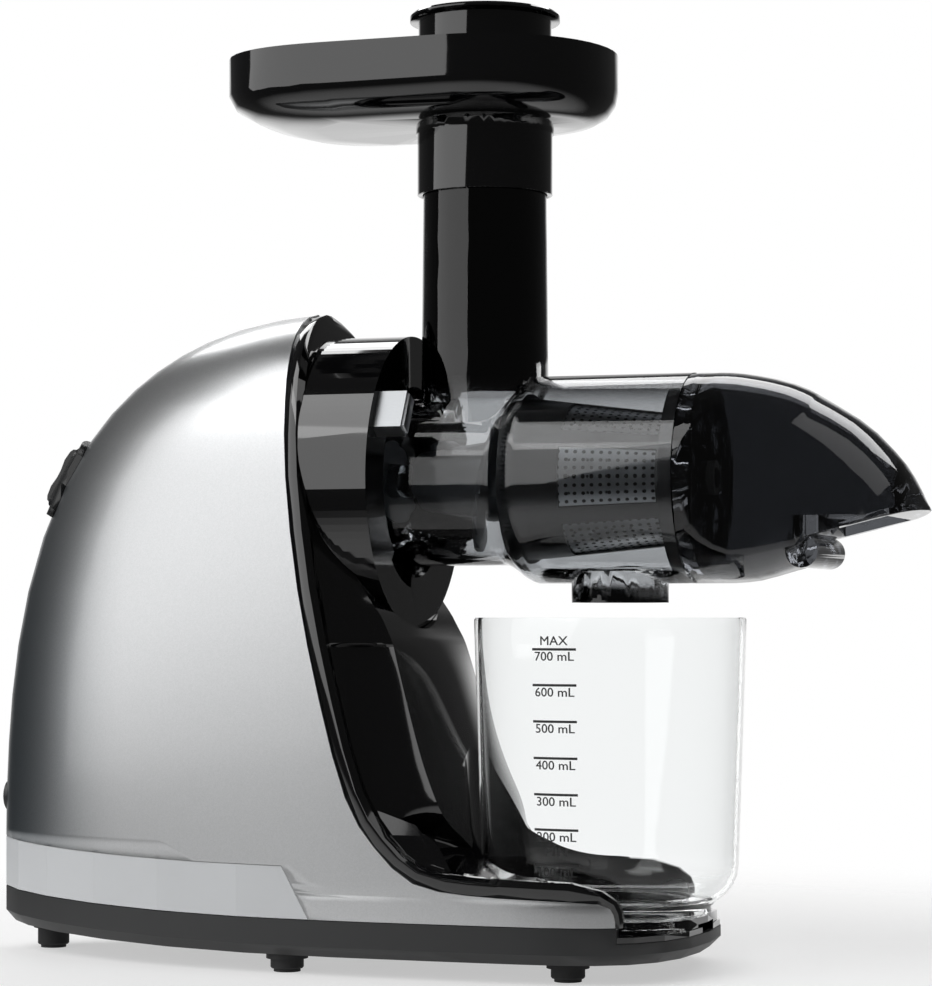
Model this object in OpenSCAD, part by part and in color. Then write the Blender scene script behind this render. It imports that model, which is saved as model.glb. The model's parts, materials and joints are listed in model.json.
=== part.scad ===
// Cold press juicer with a horizontal auger, a top feeding chute and a cup that stands on the base.
// Millimetres. +Z is up, +X points to the pulp spout, and the origin is on the floor at the middle
// of the overall length. Inside the modules, x = 0 is the axis of the juice cup: from_cup() moves
// that frame to its place.

/* [Overall] */
// Rear of the motor base to the cup axis
rear_reach = 250; // [240:1:262]
// Cup axis to the front tip of the base
front_reach = 38.5; // [36:0.5:42]
// Cup axis to the tip of the pulp spout
beak_reach = 120; // [112:1:128]
// Greatest width of the base
base_width = 126; // [122:1:132]
// Height of the housing crest
crest_z = 248; // [244:1:256]
// Height of the juicing axis
axis_z = 182.7; // [180:0.1:186]

/* [Base] */
// Height of the rubber feet
foot_h = 7; // [5:0.5:9]
// Radius of a foot
foot_r = 6.2; // [5:0.1:7.5]
// Height of the chamfer under the pan
chamfer_h = 4; // [2:0.5:6]
// Top of the dark band of the pan
band_top = 20.5; // [19:0.5:23]
// Top of the light side trim
trim_top = 40; // [36:0.5:46]
// How far these lines rise towards the rear
rear_rise = 4.5; // [0:0.5:7]
// Wall of the housing shell
shell_wall = 3; // [2.6:0.1:4]
// Depth of the recess that takes the side trim
trim_depth = 1.5; // [1:0.1:1.8]
// Wall of the pan
pan_wall = 2.4; // [1.8:0.1:3]
// Height of the pan in front of the arms
front_deck_z = 15; // [13:0.5:17]

/* [Front frame] */
// End of the arms beside the cup, from the cup axis
arm_reach = 17; // [14:0.5:20]
// How far the frame stands proud of the shell edge
frame_proud = 6.5; // [4:0.5:8]
// Radius of the space for the cup between the arms
cup_bay_r = 54.5; // [53:0.5:57]
// Inner half-width between the arms
arm_inner = 49.6; // [49:0.1:51]
// Radius of the raised cup rest
rest_r = 41.5; // [40:0.5:44]
// Top of the raised cup rest
rest_z = 21; // [19:0.5:24]

/* [Drive collar] */
// Outer radius of the collar
collar_r = 55.5; // [53:0.5:56]
// Front face of the collar, behind the cup axis
collar_face = 77; // [75:0.5:80]
// Rear of the collar, behind the cup axis
collar_back = 107; // [105:0.5:107]
// Radius of the opening that takes the drum neck
collar_bore_r = 36.4; // [35:0.1:38]

/* [Juicing drum] */
// Outer radius of the drum
drum_r = 39; // [38:0.5:40]
// Outer radius of the neck
neck_r = 32; // [31:0.5:33]
// Wall of the drum
drum_wall = 2.6; // [2:0.1:3.2]
// Front end of the drum, in front of the cup axis
drum_front = 33.4; // [30:0.2:36]
// Axis of the chute, behind the cup axis
chute_back = 49.2; // [47:0.2:52]
// Outer radius of the chute at its top
chute_r = 23.1; // [22.5:0.1:24]
// Top of the chute
chute_top = 316; // [310:1:322]
// Outer radius of the juice outlet
outlet_r = 18.2; // [16:0.2:20]
// Lower end of the juice outlet
outlet_z = 136.6; // [135.5:0.1:139]
// How far forward of the cup axis the outlet stands
outlet_front = 4; // [2:0.5:6]

/* [Auger and strainer] */
// Radius of the flight in the neck
flight_r = 27.4; // [26:0.2:28.2]
// Pitch of the flight
flight_pitch = 36; // [30:1:42]
// Thickness of the flight at its tip
flight_tip = 2.2; // [1.6:0.1:3]
// Inner radius of the strainer at its wide end
strainer_wide = 28.6; // [28:0.1:29.4]
// Inner radius of the strainer at its narrow end
strainer_narrow = 22; // [21:0.2:23]
// Number of windows around the strainer
window_count = 6; // [5:1:8]

/* [Tray and pusher] */
// Height of the tray rim
tray_rim = 343; // [340:1:348]
// Underside of the tray dish
tray_bottom = 317; // [316:0.5:320]
// Radius of the front end of the tray
tray_r = 50.5; // [48:0.5:54]
// Rear end of the tray, behind the cup axis
tray_rear = 146.5; // [140:0.5:152]
// Lower end of the tray skirt
skirt_z = 291; // [286:1:296]
// Outer radius of the tray skirt
skirt_r = 25.6; // [25.2:0.1:26.4]
// Radius of the pusher cap
pusher_cap_r = 28.4; // [27:0.2:30]
// How far the pusher stands above the tray rim
pusher_proud = 16.3; // [14:0.1:20]
// Radius of the pusher shaft
pusher_r = 19.5; // [18.5:0.1:20]
// Lower end of the pusher
pusher_end = 215.5; // [215.5:0.5:225]

/* [Juice cup] */
// Outer radius of the cup rim
cup_r = 50.9; // [49.5:0.1:51.5]
// Outer radius of the cup above its bottom corner
cup_low_r = 48; // [47:0.1:48.6]
// Height of the cup rim
cup_top = 131; // [126:0.5:132]
// Wall of the cup
cup_wall = 2.2; // [1.6:0.1:3]
// Radius of the foot ring
cup_foot_r = 37.8; // [36:0.2:39.5]

/* [Motor and gears] */
// Teeth of each pinion
pinion_teeth = 12; // [12:1:14]
// Teeth of each large gear
gear_teeth = 60; // [56:2:60]
// Tooth modules of the three stages, motor side first
stage_modules = [0.6, 0.8, 1.0]; // [0.5:0.1:1.2]
// Radius of the motor stator
stator_r = 29; // [26:0.5:30]
// Radius of the motor shaft
motor_shaft_r = 3; // [2.5:0.1:4]

/* [Hidden] */
$fn = 64;

cup_x = (rear_reach - beak_reach) / 2;
pusher_top = tray_rim + pusher_proud;
clear = 0.3;          // gap between curved faces of different bodies
fit = 0.05;           // radial clearance of a running fit
half_w = base_width / 2;
widest_x = -50;       // where the base is widest
pan_floor = foot_h + chamfer_h / 2 + 1;
steel = "#c9ccd0";
dark = "#2b2d30";
black = "#141518";
silver = "#b9bcbf";
smoke = [0.25, 0.26, 0.28, 0.55];
clear_plastic = [0.85, 0.88, 0.9, 0.35];

// ---------------------------------------------------------------- general helpers

module from_cup() translate([cup_x, 0, 0]) children();
// Turns +Z into +X, starting at x.
module along_x(x) translate([x, 0, 0]) rotate([0, 90, 0]) children();
// The same, on the juicing axis.
module on_axis(x) translate([0, 0, axis_z]) along_x(x) children();
// Extrudes a (y, z) outline along X.
module profile_x(x, length) translate([x, 0, 0]) rotate([90, 0, 90]) linear_extrude(length) children();
// Extrudes an (x, z) outline along Y, centred on the mid-plane.
module profile_y(width) translate([0, width / 2, 0]) rotate([90, 0, 0]) linear_extrude(width) children();
module tube(r_out, r_in, h) difference() {
    cylinder(r = r_out, h = h);
    translate([0, 0, -1]) cylinder(r = r_in, h = h + 2);
}
module box(low, high) translate(low) cube(high - low);

function flat(rows) = [for (row = rows) for (p = row) p];
function unit(v) = v / norm(v);
// Quarter of a superellipse: 1 at t = 0, 0 at t = 1.
function fall(t, n, m) = pow(max(0, 1 - pow(min(1, max(0, t)), n)), m);
// Point on a smooth curve through the points, u from 0 to len - 1.
function spline(pts, u) =
    let (last = len(pts) - 1, i = min(floor(u), last - 1), t = u - i,
         a = pts[max(i - 1, 0)], b = pts[i], c = pts[i + 1], d = pts[min(i + 2, last)])
    0.5 * (2 * b + (c - a) * t + (2 * a - 5 * b + 4 * c - d) * t * t
           + (3 * b - a - 3 * c + d) * t * t * t);

// Side faces of a solid through closed rings of n points each.
function ring_sides(n, last) = [for (i = [0:last - 1]) for (j = [0:n - 1])
    [i * n + j, i * n + (j + 1) % n, (i + 1) * n + (j + 1) % n, (i + 1) * n + j]];
// A solid through closed rings of equal length, with flat ends.
module loft(rings) {
    n = len(rings[0]);
    last = len(rings) - 1;
    polyhedron(flat(rings), concat(
        [[for (j = [n - 1:-1:0]) j]],
        [[for (j = [0:n - 1]) last * n + j]],
        ring_sides(n, last)));
}
// The same for rings whose second half mirrors the first, which need not be flat.
module mirrored_loft(rings) {
    n = len(rings[0]);
    last = len(rings) - 1;
    polyhedron(flat(rings), concat(
        [for (j = [0:n / 2 - 2]) [n - 1 - j, n - 2 - j, j + 1, j]],
        [for (j = [0:n / 2 - 2]) [for (k = [j, j + 1, n - 2 - j, n - 1 - j]) last * n + k]],
        ring_sides(n, last)));
}

// ---------------------------------------------------------------- base outline and housing form

// Half-width of a level section that runs from rear end xr to front end xf.
function section_y(x, xr, xf, w) =
    x < widest_x ? w * fall((widest_x - x) / (widest_x - xr), 2.4, 0.62)
                 : w * fall((x - widest_x) / (xf - widest_x), 5, 0.4167);
// Stations along the base, front tip to rear tip.
base_steps = 16;
function base_station(i, inset) = i <= base_steps / 2
    ? widest_x + (front_reach - inset - widest_x) * cos(180 * i / base_steps)
    : widest_x - (rear_reach - inset + widest_x) * sin(180 * (i - base_steps / 2) / base_steps);
function base_side(inset) = [for (i = [0:base_steps])
    let (x = base_station(i, inset))
    [x, section_y(x, inset - rear_reach, front_reach - inset, half_w - inset)]];
function both_sides(side) = concat(
    [for (p = side) [p[0], -p[1]]],
    [for (i = [len(side) - 2:-1:1]) side[i]]);
module base_area(inset) polygon(both_sides(base_side(inset)));
// The lines of the base rise towards the rear.
rise_from = -100;
function rise(x) = rear_rise * pow(max(0, (rise_from - x) / (rear_reach + rise_from)), 2);

// Edge between the silver shell and the front frame, in side view, arm end to crest.
rim_points = [
    [arm_reach + 0.5, band_top + 0.3], [arm_reach, band_top + 5], [arm_reach - 5, band_top + 8.7],
    [-11.5, band_top + 9.9], [-35.3, band_top + 10.9], [-56, band_top + 14.6], [-71, 47.9],
    [-82.3, 65.6], [-92.5, 100.3], [-101.5, 141.3], [-107.6, axis_z],
    [-110.6, crest_z - 37], [-112.6, crest_z - 21], [-114.3, crest_z - 10], [-116.2, crest_z - 2.2],
        [-117, crest_z]];
rim_steps = 30;
rim = [for (i = [0:rim_steps]) spline(rim_points, i * (len(rim_points) - 1) / rim_steps)];
function rim_x(z) = lookup(z, [for (p = rim) [p[1], p[0]]]);

// Rear end and half-width of the housing at height z, for a form smaller by inset.
form_low = 20;
function form_rear(z, inset) =
    let (reach = rear_reach - inset - 100)
    -100 - reach * fall((z - form_low) / (crest_z - inset - form_low), 3, 1 / 2.4);
function form_half(z, inset) =
    (half_w - inset) * fall((z - 40) / (crest_z - inset - 40), 6, 0.4167);
shell_columns = 20;
function shell_row(i, inset) =
    let (drop = inset * (rim[i][1] - band_top) / (crest_z - band_top),
         z = rim[i][1] - drop,
         rear = form_rear(z, inset), w = form_half(z, inset))
    [for (j = [-shell_columns:shell_columns])
        let (s = abs(j) / shell_columns,
             x = rear + (rim[i][0] - rear) * (1 - cos(180 * s)) / 2,
             y = section_y(x, rear, front_reach - inset, w))
        [x, j < 0 ? -y : y, i == 0 ? max(z, band_top + 0.3 + rise(x)) : z]];
shell_ends = [for (i = [0:rim_steps - 1]) -shell_row(i, 0)[0][1]];

// Skin of the housing between two insets of its outer form.
module housing_form(outside, inside) {
    n = 2 * shell_columns + 1;
    rows = rim_steps;
    inner = rows * n + 1;
    function at(side, i, j) = side * inner + (i == rows ? rows * n : i * n + j);
    points = concat(
        flat([for (i = [0:rows - 1]) shell_row(i, outside)]), [[rim[rows][0], 0, crest_z - outside]],
        flat([for (i = [0:rows - 1]) shell_row(i, inside)]), [[rim[rows][0], 0, crest_z - inside]]);
    function skin(i, j, side) = i == rows - 1
        ? [at(side, i, j), at(side, i, j + 1), at(side, rows, 0)]
        : [at(side, i, j), at(side, i, j + 1), at(side, i + 1, j + 1), at(side, i + 1, j)];
    function turned(f) = [for (k = [len(f) - 1:-1:0]) f[k]];
    polyhedron(points, concat(
        [for (i = [0:rows - 1]) for (j = [0:n - 2]) skin(i, j, 0)],
        [for (i = [0:rows - 1]) for (j = [0:n - 2]) turned(skin(i, j, 1))],
        [for (j = [0:n - 2]) [at(0, 0, j + 1), at(0, 0, j), at(1, 0, j), at(1, 0, j + 1)]],
        [for (i = [0:rows - 1]) [at(0, i, 0), at(0, i + 1, 0), at(1, i + 1, 0), at(1, i, 0)]],
        [for (i = [0:rows - 1])
            [at(0, i + 1, n - 1), at(0, i, n - 1), at(1, i, n - 1), at(1, i + 1, n - 1)]]));
}

// Side view of the trim band, which ends in a slant on the flank.
trim_end = -97;
trim_slant = 11;
function band_line(z, from, to, steps) = [for (i = [0:steps])
    let (x = from + (to - from) * i / steps) [x, z + rise(x)]];
module trim_side(gap, low) polygon(concat(
    band_line(band_top + low, -rear_reach - 5, trim_end + gap - trim_slant * low / (trim_top - band_top), 14),
    band_line(trim_top + gap, trim_end - trim_slant + gap, -rear_reach - 5, 14)));
module trim_ring(inset, outset) difference() {
    base_area(-outset);
    base_area(inset);
}

// Posts inside the shell that take the rear pan screws.
module shell_posts() for (p = screw_places) if (p[0] < -100) {
    translate([p[0], p[1], 14.2 + rise(p[0] - 5)]) cylinder(r = 4.5, h = 36);
    wall_y = section_y(p[0], -rear_reach, front_reach, half_w) - shell_wall + 1.3;
    side = sign(p[1]);
    box([p[0] - 1.2, min(p[1], side * wall_y), 22 + rise(p[0])],
        [p[0] + 1.2, max(p[1], side * wall_y), 50 + rise(p[0])]);
}

module housing_shell() color(silver) from_cup() difference() {
    union() {
        housing_form(0, shell_wall);
        shell_posts();
    }
    for (p = screw_places) translate([p[0], p[1], 10]) cylinder(r = 1.52, h = 20);
    intersection() {
        linear_extrude(crest_z) trim_ring(trim_depth, 6);
        profile_y(base_width + 20) trim_side(0.2, -4);
    }
    at_switch() switch_prism(switch_hole, -16, 16);
    at_gland() translate([0, 0, -8]) cylinder(r = gland_r + 0.2, h = 16);
}

module side_trim() color("#c3c6c9") from_cup() intersection() {
    linear_extrude(crest_z) trim_ring(trim_depth - 0.1, 0);
    profile_y(base_width + 20) trim_side(0, 0.35);
}

// ---------------------------------------------------------------- bottom pan

foot_places = [[-3, 45], [-111, 47], [-230, 0]];
feet = [for (p = foot_places) for (side = p[1] == 0 ? [1] : [-1, 1]) [p[0], side * p[1]]];
screw_places = [for (x = [-30, -140]) for (side = [-1, 1]) [x, side * 40]];
vent_rows = 7;
vent_pitch = 9;

function pan_ring(inset, z) = [for (p = both_sides(base_side(inset))) [p[0], p[1], z + rise(p[0])]];
module pan_body(insets_and_heights) {
    rings = [for (v = insets_and_heights) pan_ring(v[0], v[1])];
    n = len(rings[0]);
    last = len(rings) - 1;
    function strips(k, up) = [for (i = [0:base_steps - 1])
        let (a = i, b = i + 1, c = (n - i - 1) % n, d = (n - i) % n,
             quad = i == 0 ? [a, b, c] : i == base_steps - 1 ? [a, b, d] : [a, b, c, d])
        [for (m = up ? quad : [for (q = [len(quad) - 1:-1:0]) quad[q]]) k * n + m]];
    sides = [for (i = [0:last - 1]) for (j = [0:n - 1])
        [i * n + j, i * n + (j + 1) % n, (i + 1) * n + (j + 1) % n, (i + 1) * n + j]];
    polyhedron(flat(rings), concat(strips(0, false), strips(last, true), sides));
}

module bottom_pan() color("#303337") from_cup() difference() {
    union() {
        difference() {
            pan_body([[chamfer_h, foot_h], [0, foot_h + chamfer_h], [0, band_top]]);
            pan_body([[chamfer_h + 1, pan_floor], [pan_wall, pan_floor + 2], [pan_wall, band_top + 5]]);
        }
        intersection() {
            union() {
                for (p = feet) translate([p[0], p[1], 0]) cylinder(r = foot_r + 3, h = 14 + rise(p[0]));
                for (p = screw_places) translate([p[0], p[1], 0]) cylinder(r = 5, h = 14 + rise(p[0]));
                for (x = [-150, -112]) box([x, board_y - 3, 1], [x + 4, board_y + 4.6, 14 + rise(x)]);
            }
            pan_body([[chamfer_h, foot_h], [1, foot_h + chamfer_h], [1, band_top]]);
        }
    }
    box([arm_reach + 0.8, -half_w, front_deck_z], [front_reach + 1, half_w, band_top + 10]);
    for (p = feet) translate([p[0], p[1], -1]) cylinder(r = foot_r - 1.5, h = foot_h + 5 + rise(p[0]));
    for (p = screw_places) translate([p[0], p[1], 0]) {
        cylinder(r = 1.8, h = 40);
        cylinder(r = 3.6, h = foot_h + 2.6 + rise(p[0]));
    }
    for (i = [0:vent_rows - 1]) translate([-215 + i * vent_pitch, 0, 0]) {
        translate([-1.5, -14, 0]) cube([3, 28, 30]);
        for (side = [-1, 1]) translate([0, side * 14, 0]) cylinder(r = 1.5, h = 30);
    }
    for (x = [-150, -112]) box([x - 1, board_y - 0.2, pan_floor + rise(x) + 0.2], [x + 5, board_y + 1.8, 40]);
}

module rubber_feet() color("#1b1b1c") from_cup() for (p = feet) translate([p[0], p[1], 0]) {
    seat = foot_h + rise(p[0] + foot_r + 1.6);
    cylinder(r = foot_r - sole_step, h = seat - 2);
    translate([0, 0, sole_step]) cylinder(r1 = foot_r - 0.4, r2 = foot_r, h = 0.5);
    translate([0, 0, sole_step + 0.5]) cylinder(r = foot_r, h = seat - sole_step - 2.5);
    translate([0, 0, seat - 2.1]) cylinder(r = foot_r + 1.6, h = 2.1);
    cylinder(r = foot_r - 1.52, h = seat + 3.5);
}
sole_step = 1.2;

module screw(head_r, shank_r, length) {
    difference() {
        translate([0, 0, -2]) cylinder(r = head_r, h = 2);
        for (turn = [0, 90]) rotate([0, 0, turn]) translate([-head_r * 0.6, -0.4, -3])
            cube([head_r * 1.2, 0.8, 2]);
    }
    cylinder(r = shank_r, h = length);
}

module pan_screws() color(steel) from_cup() for (p = screw_places)
    translate([p[0], p[1], foot_h + 2.6 + rise(p[0])]) screw(3.2, 1.5, 7);

// ---------------------------------------------------------------- front frame

// Rows of the frame skin along the rim. The offset is along the rim's normal, forward and up.
function rim_normal(i) = let (t = unit(rim[min(i + 1, rim_steps)] - rim[max(i - 1, 0)])) [t[1], -t[0]];
function end_ease(x) = x < 0 ? 1 : 1 - 0.65 * pow(x / (arm_reach + 0.5), 2);
function root_ease(x) = x < -15 ? 1 : 1 - 0.9 * (x + 15) / (arm_reach + 15.5);
function crown_drop(z, d) = z < 100 ? 0 : d * pow((z - 100) / (crest_z - 100), 3);
function skin_point(i, off, inside, inset, drop, side) =
    let (n = rim_normal(i), k = off > 0 ? end_ease(rim[i][0]) : root_ease(rim[i][0]))
    [rim[i][0] + off * k * n[0],
     side * ((inside ? inner_ends[i] : shell_ends[i]) - inset),
     rim[i][1] + off * k * n[1] - crown_drop(rim[i][1], drop)];
inner_ends = [for (i = [0:rim_steps - 1]) -shell_row(i, shell_wall)[0][1]];
// Offset along the normal, whether inside the shell wall, inset and drop at the crest.
frame_section = [[-8, true, 2.2, 3.6], [0.3, true, 1, 3.2], [0.3, false, 0.1, 0.5],
    [frame_proud - 2, false, 0.3, 1.4], [frame_proud, false, 2.6, 4]];
function skin_ring(i) = concat(
    [for (k = [0:4]) let (s = frame_section[k]) skin_point(i, s[0], s[1], s[2], s[3], 1)],
    [for (k = [4:-1:0]) let (s = frame_section[k]) skin_point(i, s[0], s[1], s[2], s[3], -1)]);

// Height, front face and half-width of the column under the collar.
column_rows = [[front_deck_z + 2, -44, 57], [36, -34, 57], [43, -39, 57], [52, -46, 57], [66, -53, 55.5],
    [80, -58.7, 53.5], [98, -64.5, 49], [115, -69.5, 44], [131, -74, 41], [146, -80, 39]];
column_edge = [[0, -1], [9, 0], [3, 2], [0.6, 6], [0.01, 12]];
function column_ring(row) = let (x = row[1], w = row[2], z = row[0], back = rim_x(max(z, 35)) - 3)
    [for (side = [1, -1]) for (q = side > 0 ? column_edge : [for (k = [4:-1:0]) column_edge[k]])
        [q[0] == 0 ? back : x - q[0] + 0.01, side * (w - q[1]), z]];

module front_frame() color(black) from_cup() {
    difference() {
        union() {
            intersection() {
                mirrored_loft([for (i = [0:rim_steps - 1]) skin_ring(i)]);
                box([-150, -half_w, front_deck_z + 1], [60, half_w, crest_z]);
            }
            mirrored_loft([for (row = column_rows) column_ring(row)]);
        }
        translate([0, 0, front_deck_z + 3]) cylinder(r = cup_bay_r, h = 140);
        box([-cup_bay_r, -arm_inner, 0], [60, arm_inner, 60]);
        on_axis(-collar_back) cylinder(r = collar_r + clear, h = 60);
        on_axis(-collar_back - 30) cylinder(r = 24, h = 60);
        box([-150, -46, 50], [-114, 46, axis_z + 38.5]);
        hollow_column();
        for (p = collar_bolts) translate([0, p[0], p[1]]) along_x(-120) cylinder(r = 2, h = 20);
    }
    difference() {
        union() {
            linear_extrude(front_deck_z + 2.2) intersection() {
                base_area(pan_wall + 0.5);
                translate([-84, -half_w]) square([84 + arm_reach + 6, base_width]);
            }
            linear_extrude(front_deck_z + 2.2) intersection() {
                base_area(0.3);
                translate([arm_reach + 0.8, -half_w]) square([40, base_width]);
            }
            linear_extrude(rest_z - 2.5) intersection() {
                circle(r = rest_r + 4.5);
                base_area(2.2);
            }
            linear_extrude(rest_z) intersection() {
                circle(r = rest_r);
                base_area(0.9);
            }
        }
        translate([0, 0, -1]) linear_extrude(front_deck_z + 1.2) square([300, 200], center = true);
        translate([0, 0, rest_z - 0.8]) tube(rest_r - 6, rest_r - 8, 2);
        translate([0, 0, rest_z - 0.8]) tube(rest_r - 14, rest_r - 16, 2);
        translate([0, 0, -1]) cylinder(r = rest_r - 3, h = rest_z - 1.5);
        for (p = screw_places) translate([p[0], p[1], 0]) cylinder(r = 1.52, h = 40);
    }
}
// Inside of the column, open to the rear.
module hollow_column() box([-104, -34, front_deck_z + 3], [-70, 34, 96]);

// ---------------------------------------------------------------- drive collar and its lock

collar_bolts = [for (y = [-31, 31]) for (z = [-28, 28]) [y, axis_z + z]];
plate_t = 5;             // front plate of the collar
groove_w = 7;            // room for the drum lugs behind that plate
lug_r = 40.2;
lug_arc = 30;
unlock_turn = 35;
button_y = -41.6;
button_z = axis_z + 23.4;
button_size = [7, 15.5]; // radial and along the ring
button_travel = 3;
button_proud = 12;

// Wedge between two angles, wider than the radius r.
module sector(r, from, to, h) linear_extrude(h) polygon(concat([[0, 0]],
    [for (a = [from, (from + to) / 2, to]) [2 * r * cos(a), 2 * r * sin(a)]]));
// Angles are measured about the juicing axis from +Y towards +Z.
module turned_on_axis(x) translate([x, 0, axis_z]) rotate([90, 0, 90]) children();
module at_button(x) translate([x, button_y, button_z])
    rotate([atan2(button_z - axis_z, button_y) - 180, 0, 0])
    rotate([0, 90, 0]) children();
module button_prism(grow, from, to) at_button(from) translate([0, 0, (to - from) / 2])
    cube([button_size[1] + 2 * grow, button_size[0] + 2 * grow, to - from], center = true);

module drive_collar() color(black) from_cup() difference() {
    union() {
        on_axis(-collar_back) tube(collar_r, collar_r - 4, collar_back - collar_face);
        on_axis(-collar_face - plate_t) cylinder(r = collar_r - 1, h = plate_t);
        on_axis(-collar_face - plate_t - groove_w - 9) cylinder(r = collar_r - 1, h = 9);
        on_axis(-collar_face - plate_t - groove_w - 1) tube(collar_r - 2, lug_r + 1, groove_w + 2);
        on_axis(-collar_back) cylinder(r = 19, h = 16);
        for (p = collar_bolts) translate([0, p[0], p[1]]) along_x(-collar_back) cylinder(r = 5, h = 18);
        intersection() {
            button_prism(2.2, -collar_face - 22, -collar_face - 1);
            on_axis(-collar_back) cylinder(r = collar_r - 1, h = 40);
        }
    }
    on_axis(-collar_face - plate_t - 1) cylinder(r = collar_bore_r, h = plate_t + 2);
    on_axis(neck_end - 0.5) cylinder(r = neck_r + 0.5, h = 30);
    for (k = [0:2]) turned_on_axis(-collar_face - plate_t - 1) intersection() {
        cylinder(r = lug_r + 0.5, h = plate_t + 2);
        sector(lug_r, lug_start(k) + unlock_turn - 2, lug_start(k) + unlock_turn + lug_arc + 2, plate_t + 2);
    }
    on_axis(-collar_back - 1) cylinder(r = shaft_r + 1, h = 40);
    on_axis(-collar_back - 1) cylinder(r = bearing_r + 0.02, h = 9);
    on_axis(neck_end - 5) cylinder(r = seal_r, h = 6);
    button_prism(0.3, -collar_face - 18, -collar_face + 5);
    for (p = collar_bolts) translate([0, p[0], p[1]]) along_x(-collar_back - 1) cylinder(r = 1.7, h = 16);
}
function lug_start(k) = 75 + 120 * k;

module collar_screws() color(steel) from_cup() for (p = collar_bolts)
    translate([0, p[0], p[1]]) along_x(-gearbox_front - 2.5) screw(3.2, 1.5, 17);

module lock_button() color("#d5d8db") from_cup() difference() {
    union() {
        button_prism(0, -collar_face - 12, -collar_face + button_proud - 1);
        button_prism(-0.8, -collar_face - 12, -collar_face + button_proud);
    }
    at_button(-collar_face - 13) cylinder(r = 2.6, h = 8);
}

// The lock spring stands in the pocket behind the button, drawn at its pressed length.
spring_wire = 0.45;
spring_r = 1.9;
spring_turns = 5;
spring_from = -collar_face - 18 + spring_wire;
spring_to = -collar_face - 5 - button_travel - 0.3 - spring_wire;
module lock_spring() color(steel) from_cup() {
    steps = 10;
    sides = 6;
    at_button(0) loft([for (i = [0:spring_turns * steps])
        let (a = 360 * i / steps, x = spring_from + (spring_to - spring_from) * i / (spring_turns * steps))
        [for (k = [0:sides - 1]) let (b = 360 * k / sides, r = spring_r + spring_wire * cos(b))
            [r * cos(a), r * sin(a), x + spring_wire * sin(b)]]]);
}

seal_r = 12;
module shaft_seal() color("#3a3f45") from_cup() difference() {
    on_axis(neck_end - 5) cylinder(r = seal_r - 0.02, h = 4);
    on_axis(neck_end - 6) cylinder(r = shaft_r + 0.35, h = 8);
}

shaft_r = 7;
bearing_r = 13;
module output_bearing() color(steel) from_cup() on_axis(-collar_back + 0.3)
    bearing(bearing_r, shaft_r + fit, 7.5);
module bearing(r_out, r_in, h) difference() {
    cylinder(r = r_out, h = h);
    translate([0, 0, -1]) cylinder(r = r_in, h = h + 2);
    mid = (r_out + r_in) / 2;
    for (z = [-1, h - 0.8]) translate([0, 0, z]) tube(mid + 1, mid - 1, 1.8);
}

// ---------------------------------------------------------------- rear switch and cord gland

switch_z = 186.5;
switch_x = form_rear(switch_z, 0);
switch_tilt = atan((form_rear(switch_z + 1, 0) - form_rear(switch_z - 1, 0)) / 2) - 90;
switch_plate = [32, 24];
switch_hole = [27.4, 18];
switch_proud = 2.4;
rocker_size = [23.8, 12.4];
module at_switch() translate([switch_x, 0, switch_z]) rotate([0, switch_tilt, 0]) children();
module round_plate(size, r, h) linear_extrude(h) union() {
    square([size[0] - 2 * r, size[1]], center = true);
    square([size[0], size[1] - 2 * r], center = true);
    for (x = [-1, 1]) for (y = [-1, 1]) translate([x * (size[0] / 2 - r), y * (size[1] / 2 - r)])
        circle(r = r);
}
module switch_prism(size, from, to) translate([0, 0, from]) round_plate(size, 4, to - from);

module switch_bezel() color(dark) from_cup() difference() {
    union() {
        intersection() {
            housing_form(-switch_proud, -0.12);
            at_switch() switch_prism(switch_plate, -12, 12);
        }
        at_switch() switch_prism([switch_hole[0] - 0.8, switch_hole[1] - 0.8], -14, 0.4);
    }
    at_switch() translate([0, 0, -2]) cube([rocker_size[0] + 1.2, rocker_size[1] + 0.8, 18], center = true);
    at_switch() rotate([90, 0, 0]) translate([0, rocker_pin, -10]) cylinder(r = 1.5 + fit, h = 20);
}
rocker_pin = -3;
rocker_foot = 5.8;
rocker_crown = 3.5;
module rocker_switch() color("#17181a") from_cup() at_switch() {
    half = rocker_size[0] / 2;
    rotate([90, 0, 0]) translate([0, 0, -rocker_size[1] / 2]) linear_extrude(rocker_size[1])
        polygon([[-rocker_foot, -rocker_foot], [-half, 1], [-half + 0.5, 2.2], [-half + 2, 3],
            [-half / 2, rocker_crown],
            [-1.6, rocker_crown - 0.6], [1.6, rocker_crown - 0.6], [half / 2, rocker_crown], [half - 2, 3],
            [half - 0.5, 2.2], [half, 1], [rocker_foot, -rocker_foot]]);
    rotate([90, 0, 0]) translate([0, rocker_pin, -8.2]) cylinder(r = 1.5, h = 16.4);
}

gland_r = 6.5;
gland_z = 60;
module at_gland() translate([form_rear(gland_z, 0), 0, gland_z]) rotate([0, -90, 0]) children();
module cord_gland() color(dark) from_cup() intersection() {
    difference() {
        at_gland() union() {
            translate([0, 0, -11]) cylinder(r = gland_r, h = 13);
            translate([0, 0, -11]) cylinder(r = gland_r + 2, h = 2.6);
        }
        at_gland() translate([0, 0, -12]) cylinder(r = 3.4, h = 20);
    }
    box([-rear_reach + 1, -20, 0], [-200, 20, 100]);
}

// ---------------------------------------------------------------- control board

board_y = 33;
module control_board() color("#2f6b45") from_cup() {
    floor_z = pan_floor + rise(-131) + 1.4;
    box([-156, board_y, floor_z], [-106, board_y + 1.6, 58]);
    translate([-146, board_y + 0.5, 44]) rotate([90, 0, 0]) cylinder(r = 5, h = 13);
    box([-134, board_y - 8, 34], [-120, board_y + 0.5, 50]);
    box([-151, board_y - 6, 21], [-137, board_y + 0.5, 31]);
    box([-128, board_y - 9, 20], [-112, board_y + 0.5, 28]);
}

// ---------------------------------------------------------------- gears

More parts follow.
